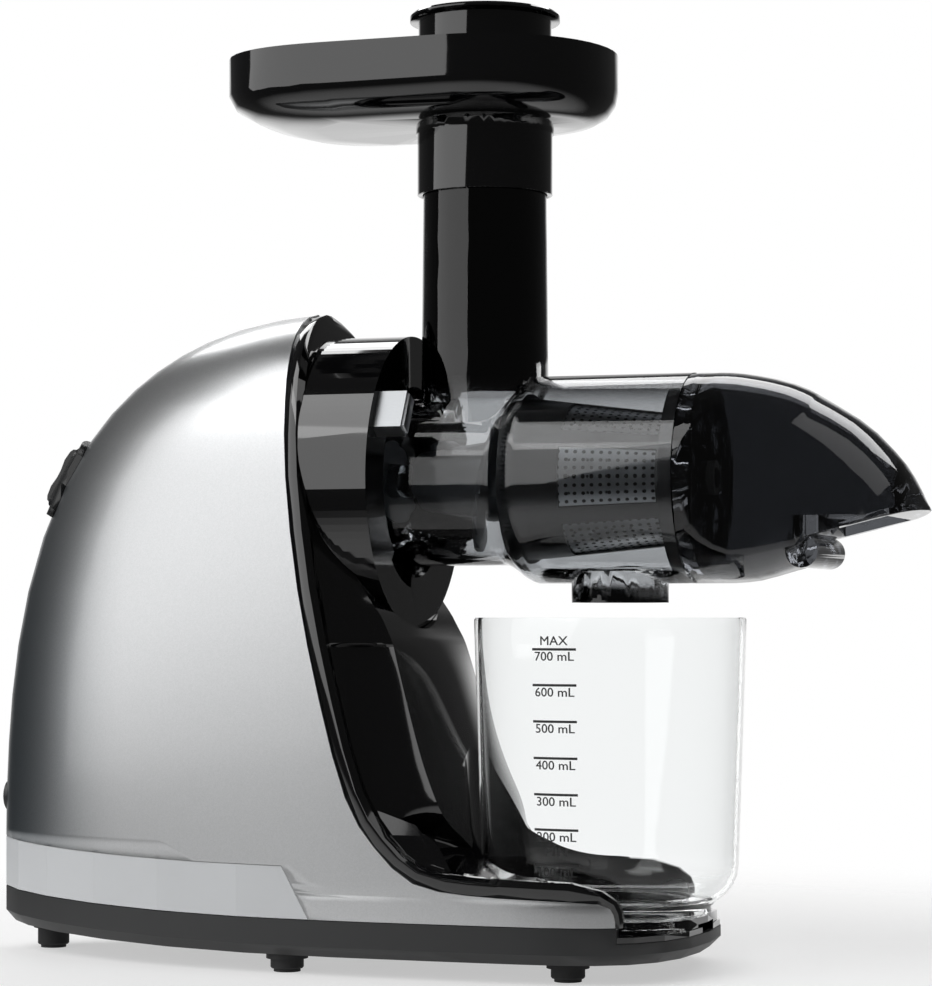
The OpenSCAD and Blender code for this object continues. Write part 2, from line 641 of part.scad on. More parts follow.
gearbox_front = 114;    // gearbox faces, behind the cup axis
gearbox_back = 150;
gearbox_wall = 3;
stage_x = [-144.5, -136.5, -127.5];
stage_w = [6, 7, 8];
function stage_distance(k) = stage_modules[k] * (pinion_teeth + gear_teeth) / 2;
second_z = axis_z - stage_distance(2);
first_z = second_z - stage_distance(1);
motor_z = first_z - stage_distance(0);

pressure = 22;
function degrees_involute(rb, r) = r <= rb ? 0 : let (a = acos(rb / r)) tan(a) * 180 / PI - a;
// Outline of a spur gear with a tooth centred on the angle first.
function gear_outline(teeth, m, first, play) =
    let (rp = m * teeth / 2, rb = rp * cos(pressure), tip = rp + 0.82 * m, root = rp - 1.15 * m,
         start = max(rb, root + 0.05 * m),
         radii = [for (k = [0:3]) start + (tip - start) * k / 3],
         half = 90 / teeth - play / (m * teeth / 2) * 90 / PI + degrees_involute(rb, rp))
    [for (i = [0:teeth - 1]) let (c = first + 360 * i / teeth)
        for (q = concat(
            [[root, -min(half, 128 / teeth)]],
            [for (r = radii) [r, degrees_involute(rb, r) - half]],
            [for (k = [3:-1:0]) [radii[k], half - degrees_involute(rb, radii[k])]],
            [[root, min(half, 128 / teeth)]]))
        [q[0] * cos(c + q[1]), q[0] * sin(c + q[1])]];
tooth_play = 0.12;
module spur(stage, teeth, first, x, w) profile_x(x, w) polygon(
    gear_outline(teeth, stage_modules[stage], first, tooth_play * stage_modules[stage] / 0.6));
module wheel(stage, z, shaft) translate([0, 0, z]) difference() {
    union() {
        spur(stage, gear_teeth, -90, stage_x[stage], stage_w[stage]);
        along_x(stage_x[stage] - 0.6) cylinder(r = shaft + 3.5, h = stage_w[stage] + 1.2);
    }
    along_x(stage_x[stage] - 2) cylinder(r = shaft + 0.02, h = stage_w[stage] + 4);
    ring = stage_modules[stage] * gear_teeth / 2;
    for (x = [stage_x[stage] - 1, stage_x[stage] + stage_w[stage] - 1.5]) along_x(x)
        tube(ring - 3.5, shaft + 4.5, 2.5);
}
module pinion(stage) spur(stage, pinion_teeth, 90 + 180 / pinion_teeth, stage_x[stage], stage_w[stage] + 0.4);

gear_shaft_r = 3;
module axle(r, z, from, to) translate([0, 0, z]) along_x(from) cylinder(r = r, h = to - from);
shaft_back = -gearbox_back + 1;
shaft_front = -gearbox_front - 1;

module output_shaft() color(steel) from_cup() {
    axle(shaft_r, axis_z, shaft_back - 0.4, -84);
    translate([0, 0, axis_z]) along_x(-85) cylinder(r = hex_r, h = 24, $fn = 6);
}
hex_r = 6.6;
module output_gear() color("#8c8f94") from_cup() wheel(2, axis_z, shaft_r);
module second_shaft() color(steel) from_cup() union() {
    axle(gear_shaft_r, second_z, shaft_back, shaft_front);
    translate([0, 0, second_z]) pinion(2);
}
module second_gear() color("#d9d4c5") from_cup() wheel(1, second_z, gear_shaft_r);
module first_shaft() color(steel) from_cup() union() {
    axle(gear_shaft_r, first_z, shaft_back, shaft_front);
    translate([0, 0, first_z]) pinion(1);
}
module first_gear() color("#d9d4c5") from_cup() wheel(0, first_z, gear_shaft_r);

// Front view of the gearbox: the room for each gear, joined by a straight web.
case_wall = 2.6;
module gearbox_area(grow) {
    translate([0, axis_z]) circle(r = 33 + grow);
    translate([0, second_z]) circle(r = 27.5 + grow);
    translate([0, first_z]) circle(r = 21.5 + grow);
    translate([0, motor_z]) circle(r = 12 + grow);
    translate([-10 - grow, motor_z]) square([20 + 2 * grow, first_z - motor_z]);
}
// A screw boss at p with a web towards the middle of the gearbox.
module boss_web(p) {
    aim = [0, (p[1] + second_z) / 2];
    side = 4.5 * unit([aim[1] - p[1], p[0] - aim[0]]);
    translate(p) circle(r = 4.8);
    polygon([p + side, p - side, aim - side, aim + side]);
}
gearbox_ears = [[-24, motor_z - 4], [24, motor_z - 4], [-34, second_z - 8], [34, second_z - 8]];
module gearbox_cover() color("#9da1a6") from_cup() difference() {
    union() {
        profile_x(-gearbox_front - 2.5, 2.5) gearbox_area(case_wall);
        for (p = gearbox_ears) profile_x(-gearbox_front - 2.5, 2.5) boss_web(p);
        for (p = collar_bolts) profile_x(-gearbox_front - 2.5, 2.5) boss_web(p);
        for (z = [first_z, second_z]) translate([0, 0, z]) along_x(-gearbox_front - 5) cylinder(r = 6, h = 5);
    }
    for (z = [first_z, second_z]) translate([0, 0, z]) along_x(-gearbox_front - 6)
        cylinder(r = gear_shaft_r + fit, h = 5.5);
    on_axis(-gearbox_front - 6) cylinder(r = shaft_r + 0.5, h = 10);
    for (p = concat(collar_bolts, gearbox_ears)) translate([0, p[0], p[1]]) along_x(-gearbox_front - 4)
        cylinder(r = 1.7, h = 6);
}
module gearbox_case() color("#8f9398") from_cup() difference() {
    union() {
        profile_x(-gearbox_back, gearbox_back - gearbox_front - 2.5) gearbox_area(case_wall);
        for (p = gearbox_ears) profile_x(-gearbox_back, gearbox_back - gearbox_front - 2.5) boss_web(p);
        at_motor(-gearbox_back) cylinder(r = 29, h = gearbox_wall);
    }
    profile_x(-gearbox_back + gearbox_wall, gearbox_back) gearbox_area(0);
    for (z = [first_z, second_z]) translate([0, 0, z]) along_x(-gearbox_back + 0.8)
        cylinder(r = gear_shaft_r + fit, h = 10);
    on_axis(-gearbox_back + 0.4) cylinder(r = shaft_r + fit, h = 10);
    translate([0, 0, motor_z]) along_x(-gearbox_back - 1) cylinder(r = motor_shaft_r + 1.2, h = 10);
    for (p = gearbox_ears) translate([0, p[0], p[1]]) along_x(-gearbox_front - 14) cylinder(r = 1.35, h = 20);
    for (p = collar_bolts) translate([0, p[0], p[1]]) along_x(-gearbox_front - 7) cylinder(r = 4, h = 20);
    for (p = motor_posts) translate([0, p[0], p[1]]) along_x(-gearbox_back - 1) cylinder(r = 1.4, h = 5);
}
module gearbox_screws() color(steel) from_cup() for (p = gearbox_ears)
    translate([0, p[0], p[1]]) rotate([0, 0, 180]) along_x(gearbox_front) screw(2.9, 1.3, 11);

// ---------------------------------------------------------------- motor

bracket_x = -161;
motor_posts = [for (y = [-19, 19]) for (z = [-17, 15]) [y, motor_z + z]];
stator_x = -200;
stator_w = 24;
rear_bracket_x = -214;
module at_motor(x) translate([0, 0, motor_z]) along_x(x) children();

module motor_bracket() color("#a4a8ac") from_cup() difference() {
    union() {
        at_motor(bracket_x) cylinder(r = 30, h = 2.5);
        at_motor(bracket_x) cylinder(r = 9.5, h = 7);
        for (side = [-1, 1]) translate([0, 0, motor_z])
            box([stator_x + stator_w, side * 27.6 - 2, -8], [bracket_x + 1, side * 27.6 + 2, 8]);
    }
    at_motor(bracket_x - 1) cylinder(r = motor_shaft_r + 1, h = 20);
    at_motor(bracket_x - 1) cylinder(r = 7 + 0.02, h = 5.6);
    for (p = motor_posts) translate([0, p[0], p[1]]) along_x(bracket_x - 1) cylinder(r = 1.5, h = 6);
    for (a = [0:60:300]) at_motor(bracket_x - 1) rotate([0, 0, a + 30]) translate([15, -2, 0])
        cube([9, 4, 6]);
}
module motor_spacers() color(steel) from_cup() for (p = motor_posts)
    translate([0, p[0], p[1]]) {
        along_x(bracket_x + 2.5) cylinder(r = 3, h = -gearbox_back - bracket_x - 2.5);
        along_x(bracket_x - 0.1) cylinder(r = 1.35, h = -gearbox_back - bracket_x + 3.5);
    }
module stator_core() color("#6d7075") from_cup() difference() {
    at_motor(stator_x) cylinder(r = stator_r, h = stator_w);
    at_motor(stator_x - 1) cylinder(r = 17.6, h = stator_w + 2);
    for (side = [-1, 1]) translate([0, 0, motor_z]) difference() {
        box([stator_x - 1, side * 21 - 3.5, -13], [stator_x + stator_w + 1, side * 21 + 3.5, 13]);
    }
}
module stator_windings() color("#b0602c") from_cup() difference() {
    union() {
        for (side = [-1, 1]) translate([0, 0, motor_z])
            box([stator_x - 5, side * 21 - 3.2, -12.6], [stator_x + stator_w + 5, side * 21 + 3.2, 12.6]);
        for (x = [stator_x - 5, stator_x + stator_w + 0.4]) at_motor(x) tube(25, 18.4, 4.6);
    }
}
module front_bearing() color(steel) from_cup() at_motor(bracket_x - 0.5) bearing(7, motor_shaft_r + fit, 5);
module rear_bearing() color(steel) from_cup() at_motor(rear_bracket_x - 1) bearing(6, motor_shaft_r + fit, 4);
module motor_rear_bracket() color("#a4a8ac") from_cup() difference() {
    union() {
        translate([0, 0, motor_z]) box([rear_bracket_x, -9, -28.5], [rear_bracket_x + 2.5, 9, 28.5]);
        at_motor(rear_bracket_x - 1.5) cylinder(r = 8.5, h = 5);
        for (side = [-1, 1]) translate([0, 0, motor_z])
            box([rear_bracket_x, -6, side * 27.1 - 1.4], [stator_x, 6, side * 27.1 + 1.4]);
    }
    at_motor(rear_bracket_x - 2) cylinder(r = 6.02, h = 5.2);
    at_motor(rear_bracket_x - 2) cylinder(r = motor_shaft_r + 1, h = 10);
}
module carbon_brushes() color("#3c3c3e") from_cup() for (side = [-1, 1]) translate([0, 0, motor_z])
    box([-210.3, -2.5, min(side * 9.4, side * 25.7)], [-205.3, 2.5, max(side * 9.4, side * 25.7)]);

module motor_shaft() color(steel) from_cup() union() {
    axle(motor_shaft_r, motor_z, -219, -gearbox_back - 2);
    axle(2.4, motor_z, -gearbox_back - 3, stage_x[0] + stage_w[0] + 1);
    translate([0, 0, motor_z]) pinion(0);
}
module rotor_core() color("#7d8085") from_cup() difference() {
    at_motor(stator_x) cylinder(r = 17, h = stator_w);
    at_motor(stator_x - 1) cylinder(r = motor_shaft_r + 0.02, h = stator_w + 2);
    for (a = [0:30:330]) at_motor(stator_x - 1) rotate([0, 0, a]) translate([12.5, -1, 0])
        cube([6, 2, stator_w + 2]);
}
module commutator() color("#b87333") from_cup() difference() {
    at_motor(-210.5) cylinder(r = 9, h = 7.5);
    at_motor(-212) cylinder(r = motor_shaft_r + 0.02, h = 12);
    for (a = [0:30:330]) at_motor(-212) rotate([0, 0, a + 15]) translate([7.6, -0.25, 0]) cube([3, 0.5, 12]);
}
fan_blades = 9;
module cooling_fan() color("#e2e2de") from_cup() at_motor(-170.5) difference() {
    union() {
        cylinder(r = 7, h = 6);
        cylinder(r = 16.8, h = 1.4);
        for (a = [0:fan_blades - 1]) rotate([0, 0, 360 * a / fan_blades]) translate([5, -0.7, 0])
            cube([11.5, 1.4, 6]);
    }
    translate([0, 0, -1]) cylinder(r = motor_shaft_r + 0.02, h = 9);
}

// ---------------------------------------------------------------- auger

core_profile = [[-76, 11.4], [-70, 12.2], [-35, 16], [-20, 17], [20, 17.4], [27, 15.5]];
pin_r = 4;
auger_pin_end = 42;
function core_r(x) = lookup(x, core_profile);
strainer_from = -33;
strainer_to = 28;
function strainer_r(x) = x < strainer_from ? strainer_wide
    : strainer_wide + (strainer_narrow - strainer_wide) * (x - strainer_from) / (strainer_to - strainer_from);
function crest_r(x) = min(flight_r, strainer_r(x) - 0.7);
flight_from = -70;
flight_to = 21;
flight_steps = 20;
module helix_flight(from, to, start, lift) {
    n = ceil((to - from) / flight_pitch * flight_steps);
    translate([0, 0, axis_z]) loft([for (i = [0:n])
        let (x = from + (to - from) * i / n, a = start - 360 * (x - from) / flight_pitch,
             rr = core_r(x) - 2, ends = min(1, 6 * i / n + 0.12, 6 * (n - i) / n + 0.12),
             rt = rr + 2.4 + (crest_r(x) - lift - rr - 2.4) * ends)
        [for (p = [[rr, 2.6], [rt, flight_tip / 2], [rt, -flight_tip / 2], [rr, -2.6]])
            [x + p[1], p[0] * cos(a), p[0] * sin(a)]]]);
}
module auger() color("#8f9297") from_cup() difference() {
    union() {
        on_axis(0) rotate_extrude() polygon(concat(
            [[0, core_profile[0][0]]], [for (p = core_profile) [p[1], p[0]]],
            [[pin_r, core_profile[5][0] + 1], [pin_r, auger_pin_end - 1], [pin_r - 1, auger_pin_end],
                [0, auger_pin_end]]));
        helix_flight(flight_from, flight_to, 100, 0);
        helix_flight(-14, flight_to, 160, 0.4);
    }
    on_axis(-80) cylinder(r = 9.6, h = 27);
}
// Drive insert moulded into the auger.
module auger_hub() color(steel) from_cup() difference() {
    on_axis(-76) cylinder(r = 9.58, h = 23);
    on_axis(-78) cylinder(r = hex_r + 0.25, h = 18, $fn = 6);
}

// ---------------------------------------------------------------- drum

neck_end = -93.5;
bulge_from = -40;
bulge_to = -30;
drum_inner = drum_r - drum_wall;
neck_inner = neck_r - drum_wall;
chute_low_r = chute_r + 1.4;
chute_inner = chute_r - 2.2;
outlet_inner = outlet_r - 2.2;
function blend_up(r0, r1, from, to, steps) = [for (i = [0:steps])
    let (t = i / steps) [r0 + (r1 - r0) * (0.5 - 0.5 * cos(180 * t)), from + (to - from) * t]];
module drum_revolve(points) on_axis(0) rotate_extrude() polygon(points);

module juicing_drum() color(smoke) from_cup() difference() {
    union() {
        drum_revolve(concat([[0, neck_end]], [[neck_r, neck_end]],
            blend_up(neck_r, drum_r, bulge_from, bulge_to + 4, 8), [[drum_r, drum_front], [0, drum_front]]));
        translate([-chute_back, 0, axis_z]) cylinder(r1 = chute_low_r, r2 = chute_r, h = chute_top - axis_z);
        translate([outlet_front, 0, outlet_z]) cylinder(r = outlet_r, h = 24);
        for (k = [0:2]) turned_on_axis(-collar_face - plate_t - groove_w + 0.8) intersection() {
            cylinder(r = lug_r, h = groove_w - 1.6);
            sector(lug_r, lug_start(k), lug_start(k) + lug_arc, groove_w);
        }
    }
    drum_revolve(concat([[0, neck_end + 3]], [[neck_inner, neck_end + 3]],
        blend_up(neck_inner, drum_inner, bulge_from + 0.5, bulge_to + 4.5, 8),
        [[drum_inner, drum_front + 1], [0, drum_front + 1]]));
    on_axis(neck_end - 1) cylinder(r = drum_seal_r, h = 6);
    translate([-chute_back, 0, axis_z]) cylinder(r1 = chute_inner + 0.6, r2 = chute_inner,
        h = chute_top - axis_z + 1);
    translate([outlet_front, 0, outlet_z - 1]) cylinder(r = outlet_inner, h = 26);
}
drum_seal_r = 15;
module drum_seal() color("#55585c") from_cup() difference() {
    union() {
        on_axis(neck_end + 0.1) cylinder(r = drum_seal_r - 0.02, h = 3);
        on_axis(neck_end + 3) cylinder(r = drum_seal_r + 2, h = 1.6);
    }
    on_axis(neck_end - 1) cylinder(r = shaft_r + 0.35, h = 10);
}

// Cone with an outer thickness t, from x a to b.
module cone_shell(a, b, t, skin) difference() {
    on_axis(a) cylinder(r1 = strainer_r(a) + t, r2 = strainer_r(b) + t, h = b - a);
    on_axis(a - 0.001) cylinder(r1 = strainer_r(a) + skin, r2 = strainer_r(b) + skin, h = b - a + 0.002);
}
window_from = -12;
window_to = 24;
window_arc = 360 / window_count * 0.77;
module strainer_frame() color("#1d1f22") from_cup() difference() {
    union() {
        cone_shell(strainer_from, strainer_to, 2.3, 0);
        on_axis(strainer_from - 0.5) tube(strainer_wide + 3.4, strainer_wide, 4);
        on_axis(strainer_to) tube(drum_inner - 0.3, strainer_narrow, 3);
        on_axis(strainer_to) tube(drum_inner - 0.3, drum_inner - 2.6, drum_front - strainer_to - 0.6);
    }
    for (k = [0:window_count - 1]) turned_on_axis(window_from) intersection() {
        tube(60, 12, window_to - window_from);
        sector(60, k * 360 / window_count - window_arc / 2, k * 360 / window_count + window_arc / 2,
            window_to - window_from);
    }
    for (k = [0:11]) on_axis(strainer_to - 1) rotate([0, 0, 30 * k])
        translate([strainer_narrow + 6, 0, 0]) cylinder(r = 2.2, h = 8);
}
hole_rows = 3;
hole_columns = 5;
module strainer_mesh() color("#c9ccd0") from_cup() difference() {
    intersection() {
        cone_shell(window_from + 0.1, window_to - 0.1, 1.4, 0.6);
        union() for (k = [0:window_count - 1]) turned_on_axis(window_from) sector(60,
            k * 360 / window_count - window_arc / 2 + 0.2, k * 360 / window_count + window_arc / 2 - 0.2,
            window_to - window_from);
    }
    for (k = [0:window_count - 1]) for (i = [0:hole_rows - 1]) for (j = [0:hole_columns - 1])
        translate([window_from + 4 + j * (window_to - window_from - 8) / (hole_columns - 1), 0, axis_z])
            rotate([k * 360 / window_count + (i - 1) * window_arc / 3.6, 0, 0])
                rotate([-90, 0, 0]) translate([0, 0, 18]) cylinder(r = 0.6, h = 16);
}

// ---------------------------------------------------------------- end cap

// Stations of the hood: x, half-width of its flat sides, crown, upper and lower edge of the flat
// side, and keel, with heights from the juicing axis. The flats begin as finger scoops.
hood_from = drum_front + 0.3;
lip_x = 80;
hood_stations = [
    [hood_from, 38.9, drum_r, 2.8, -2.8, -drum_r], [37, 38.2, 39, 8, -8, -39],
    [40, 35.5, 38.9, 16.2, -16.2, -39], [44, 32.4, 38.9, 21.7, -21.7, -39],
    [48, 30.8, 38.7, 23.9, -24.9, -39], [53, 30.2, 38.1, 24.4, -26.8, -38.7],
    [58, 30.2, 37.2, 23.7, -26.3, -38.1], [64, 30.2, 35.9, 21.9, -25.4, -36.6],
    [71, 30.2, 33.8, 19.2, -24.3, -34.6], [76, 30.2, 31.7, 16.2, -23.4, -33.3],
    [79.2, 30.2, 29.9, 14.2, -22.8, -26.5], [lip_x, 30.2, 29.4, 13.7, -22.6, -22.6],
    [87, 30.2, 25.2, 8.7, -20.9, -20.9], [94.5, 30.2, 20.5, 1.6, -19.1, -19.1],
    [101, 30.1, 15.3, -6.3, -17.5, -17.5], [107, 29.4, 9, -14.6, -16.1, -16.1],
    [111, 27, 4.2, -14.8, -15.1, -15.1], [114, 23.2, -0.6, -14, -14.3, -14.3],
    [116.6, 17.5, -5.6, -13.4, -13.6, -13.6], [118.4, 11, -9.4, -13.1, -13.2, -13.2],
    [beak_reach, 3.5, -11.9, -12.9, -13, -13]];
crown_steps = 12;
keel_steps = 6;
// Rise of a circular arc of half-chord w and rise h, at s from -1 to 1 along the chord.
function arc_rise(s, w, h) = h < 0.2 ? h * (1 - s * s)
    : let (r = (w * w + h * h) / (2 * h)) sqrt(r * r - w * w * s * s) - (r - h);
function hood_ring(p, inset) =
    let (w = p[1] - inset, top = p[2] - inset, keel = p[5] + inset, low = max(p[4], keel + 0.05),
         f = max(low + 0.1, min(p[3], top - 0.2)))
    concat([[p[0], -w, axis_z + low]],
        [for (k = [0:crown_steps]) let (s = -cos(180 * k / crown_steps))
            [p[0], w * s, axis_z + f + arc_rise(s, w, top - f)]],
        [[p[0], w, axis_z + low]],
        [for (k = [1:keel_steps - 1]) let (s = cos(180 * k / keel_steps))
            [p[0], w * s, axis_z + low - arc_rise(s, w, max(0.02, low - keel))]]);
module hood(inset, to) loft([for (p = hood_stations) if (p[0] <= to) hood_ring(p, inset)]);

module end_cap() color(smoke) from_cup() difference() {
    union() {
        hood(0, beak_reach);
        translate([lip_x - 1.9, lip_half, axis_z - 27.9]) rotate([90, 0, 0])
            cylinder(r = lip_r, h = 2 * lip_half);
    }
    intersection() {
        hood(hood_wall, 112);
        profile_y(100) polygon([[38.6, axis_z - 50], [76, axis_z - 50], [76, axis_z - 15],
            [beak_reach + 5, axis_z - 15], [beak_reach + 5, axis_z + 60], [38.6, axis_z + 60]]);
    }
    profile_y(2 * 24) polygon([[lip_x + 4.4, axis_z - 40], [109, axis_z - 40], [109, axis_z - 9],
        [lip_x + 4.4, axis_z - 12]]);
    for (k = [0:5]) on_axis(30) rotate([0, 0, 60 * k + 30]) translate([17, 0, 0]) cylinder(r = 5.4, h = 12);
    on_axis(30) cylinder(r = bush_r, h = 20);
}
bush_r = 6.4;
lip_r = 5.9;
lip_half = 25;
hood_wall = 2.4;
module cap_bush() color("#d8d6cf") from_cup() difference() {
    on_axis(drum_front + 1) cylinder(r = bush_r - 0.02, h = 7);
    on_axis(drum_front - 1) cylinder(r = pin_r + fit, h = 12);
}

// ---------------------------------------------------------------- tray and pusher

tray_wide_x = -90;
tray_sides = 12;
// The dish's corner runs in further at its rear end than round the chute.
front_run = 0.55;
rear_run = 1.5;
function tray_half(run, wall) = let (wide = tray_r - run - wall) concat(
    [for (i = [0:tray_sides]) let (a = 90 * i / tray_sides)
        [-chute_back + (tray_r - front_run * run - wall) * cos(a), wide * sin(a)]],
    [for (i = [0:tray_sides]) let (t = sin(90 * i / tray_sides))
        [tray_wide_x - (tray_rear + tray_wide_x - rear_run * run - wall) * t, wide * fall(t, 2.8, 1 / 2.8)]]);
function tray_ring(run, wall, z) = let (half = tray_half(run, wall), n = len(half)) concat(
    [for (p = half) [p[0], -p[1], z]], [for (i = [n - 2:-1:1]) [half[i][0], half[i][1], z]]);
tray_wall = 2.4;
corner_w = 22;           // how far the rounded corner runs in under the dish
corner_h = 12;
function corner(z0, steps, w, h) = [for (i = [0:steps])
    let (a = 90 * i / steps) [w * (1 - sin(a)), z0 + h * (1 - cos(a))]];
tray_hole_r = 20.9;
module feeding_tray() color(black) from_cup() difference() {
    union() {
        difference() {
            loft(concat([for (c = corner(tray_bottom, 4, corner_w, corner_h)) tray_ring(c[0], 0, c[1])],
                [tray_ring(0, 0, tray_rim)]));
            loft(concat([for (c = corner(tray_bottom + tray_wall, 4, corner_w,
                corner_h)) tray_ring(c[0], tray_wall, c[1])],
                [tray_ring(0, tray_wall - 0.4, tray_rim + 1)]));
        }
        translate([-chute_back, 0, skirt_z]) cylinder(r = skirt_r, h = tray_bottom - skirt_z + 1);
        translate([-chute_back, 0, tray_bottom]) cylinder(r = skirt_r + 1.2, h = seat_z - tray_bottom);
        translate([-chute_back, 0, tray_bottom - 3]) cylinder(r = skirt_r + 0.6, h = 4);
    }
    translate([-chute_back, 0, skirt_z - 1]) cylinder(r = tray_hole_r, h = 60);
    translate([-chute_back, 0, skirt_z - 1]) cylinder(r = chute_r + 0.6, h = chute_top - skirt_z + 1.3);
}
seat_z = tray_bottom + 8;
module pusher() color(black) from_cup() translate([-chute_back, 0, 0]) difference() {
    union() {
        translate([0, 0, pusher_end]) cylinder(r1 = pusher_r - 1, r2 = pusher_r, h = 2);
        translate([0, 0, pusher_end + 2]) cylinder(r = pusher_r, h = seat_z - pusher_end);
        translate([0, 0, seat_z + 0.2]) cylinder(r = skirt_r - 0.4, h = pusher_top - seat_z - 1);
        translate([0, 0, pusher_top - 2.8]) cylinder(r = pusher_cap_r, h = 2);
        translate([0, 0, pusher_top - 0.8]) cylinder(r1 = pusher_cap_r, r2 = pusher_cap_r - 0.8, h = 0.8);
    }
    translate([0, 0, pusher_end + 3]) cylinder(r = pusher_r - 2, h = 200);
}

// ---------------------------------------------------------------- juice cup

module juice_cup() color(clear_plastic) from_cup() rotate_extrude() {
    corner_r = 16;
    foot = 2.5;
    low = rest_z + 0.05;
    outer = [for (a = [0:15:90]) [cup_low_r - corner_r + corner_r * sin(a),
        low + foot + corner_r * (1 - cos(a))]];
    inner = [for (a = [90:-15:0]) [cup_low_r - corner_r + (corner_r - cup_wall) * sin(a),
        low + foot + corner_r - (corner_r - cup_wall) * cos(a)]];
    polygon(concat([[0, low + foot - 0.8], [cup_foot_r - 3, low + foot - 0.8], [cup_foot_r - 2.6, low],
        [cup_foot_r, low]],
        [[cup_foot_r, low + foot + 0.4]], [for (p = outer) if (p[0] > cup_foot_r) p],
        [[cup_r, cup_top - 0.6], [cup_r - 0.5, cup_top], [cup_r - cup_wall + 0.5, cup_top],
            [cup_r - cup_wall, cup_top - 0.6]],
        inner, [[0, low + foot + cup_wall]]));
}

// ---------------------------------------------------------------- assembly

bottom_pan();
rubber_feet();
pan_screws();
housing_shell();
side_trim();
front_frame();
drive_collar();
collar_screws();
shaft_seal();
output_bearing();
lock_button();
lock_spring();
switch_bezel();
rocker_switch();
cord_gland();
control_board();
gearbox_cover();
gearbox_case();
gearbox_screws();
output_shaft();
output_gear();
second_shaft();
second_gear();
first_shaft();
first_gear();
motor_bracket();
motor_rear_bracket();
motor_spacers();
stator_core();
stator_windings();
front_bearing();
rear_bearing();
carbon_brushes();
motor_shaft();
rotor_core();
commutator();
cooling_fan();
auger();
auger_hub();
juicing_drum();
drum_seal();
strainer_frame();
strainer_mesh();
end_cap();
cap_bush();
feeding_tray();
pusher();
juice_cup();
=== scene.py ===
"""Looks of a cold press juicer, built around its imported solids, and the small studio it stands in."""

import json
import logging
import math
from dataclasses import dataclass
from enum import Enum
from typing import Iterable, Sequence

import bmesh
import bpy
from mathutils import Matrix, Vector

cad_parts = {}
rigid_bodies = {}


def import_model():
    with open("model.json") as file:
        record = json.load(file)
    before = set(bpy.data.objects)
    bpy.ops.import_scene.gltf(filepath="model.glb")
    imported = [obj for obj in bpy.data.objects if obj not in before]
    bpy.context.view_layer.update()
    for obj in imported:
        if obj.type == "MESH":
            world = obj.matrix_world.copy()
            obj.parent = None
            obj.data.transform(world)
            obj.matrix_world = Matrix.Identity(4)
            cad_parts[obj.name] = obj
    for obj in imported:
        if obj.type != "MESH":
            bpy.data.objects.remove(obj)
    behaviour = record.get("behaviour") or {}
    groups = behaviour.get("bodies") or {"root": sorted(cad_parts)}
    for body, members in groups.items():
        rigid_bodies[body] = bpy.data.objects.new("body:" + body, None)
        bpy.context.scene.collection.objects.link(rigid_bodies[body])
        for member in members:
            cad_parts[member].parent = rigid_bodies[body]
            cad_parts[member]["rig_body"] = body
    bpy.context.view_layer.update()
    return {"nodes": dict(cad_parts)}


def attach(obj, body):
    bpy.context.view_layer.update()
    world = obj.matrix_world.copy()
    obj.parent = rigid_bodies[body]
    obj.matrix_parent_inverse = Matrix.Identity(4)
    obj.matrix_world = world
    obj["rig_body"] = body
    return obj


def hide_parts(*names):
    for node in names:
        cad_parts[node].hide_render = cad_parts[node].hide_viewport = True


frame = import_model()
log = logging.getLogger("juicer")

MM = 0.001
CUP_X = 65.0
AXIS_Z = 182.7
WELD_M = 3e-6
SLIVER_M = 1e-7
CUT_WELD_M = 2e-6
CUT_SLIVER_M = 1e-6
Colour = tuple[float, float, float, float]
Rows = tuple[tuple[float, float], ...]


class Body(str, Enum):
    """The bodies that pieces of the scene's own ride on."""

    BASE = "base"
    CUP = "cup"


def linear(hex_colour: str, alpha: float = 1.0) -> Colour:
    """Turns an sRGB hex colour into the linear colour that shaders take.

    Args:
        hex_colour: six hexadecimal digits after a hash.
        alpha: opacity.

    Returns:
        The linear red, green, blue and alpha.
    """
    parts = [int(hex_colour[i : i + 2], 16) / 255 for i in (1, 3, 5)]
    red, green, blue = (c / 12.92 if c <= 0.04045 else ((c + 0.055) / 1.055) ** 2.4 for c in parts)
    return red, green, blue, alpha


def shaded(colour: Colour, share: float) -> Colour:
    """Makes a colour lighter or darker.

    Args:
        colour: the linear colour.
        share: what each part is multiplied by.

    Returns:
        The opaque colour.
    """
    return tuple(min(1.0, c * share) for c in colour[:3]) + (1.0,)


def shader(tree: bpy.types.NodeTree, kind: str, settings: dict | None = None, **links: object) -> bpy.types.Node:
    """Adds a node with its settings and links.

    Args:
        tree: the node tree.
        kind: the node's type name.
        settings: attributes and socket values, a socket by its name or number.
        links: sockets of this node, underscores for spaces, and what feeds them: an output socket,
            or a node whose first output is meant.

    Returns:
        The node.
    """
    node = tree.nodes.new(kind)
    for key, value in (settings or {}).items():
        if isinstance(key, str) and hasattr(node, key):
            setattr(node, key, value)
        else:
            node.inputs[key].default_value = value
    for key, source in links.items():
        name = int(key[1:]) if key[0] == "_" else key.replace("_", " ")
        output = source.outputs[0] if isinstance(source, bpy.types.Node) else source
        tree.links.new(output, node.inputs[name])
    return node


def blend(tree: bpy.types.NodeTree, share: object, low: Colour, high: Colour) -> bpy.types.NodeSocket:
    """Mixes two colours.

    Args:
        tree: the node tree.
        share: what tells the second colour's share, a socket or a node.
        low: the first colour.
        high: the second colour.

    Returns:
        The mixed colour's socket.
    """
    return shader(tree, "ShaderNodeMix", {"data_type": "RGBA", 6: low, 7: high}, _0=share).outputs[2]


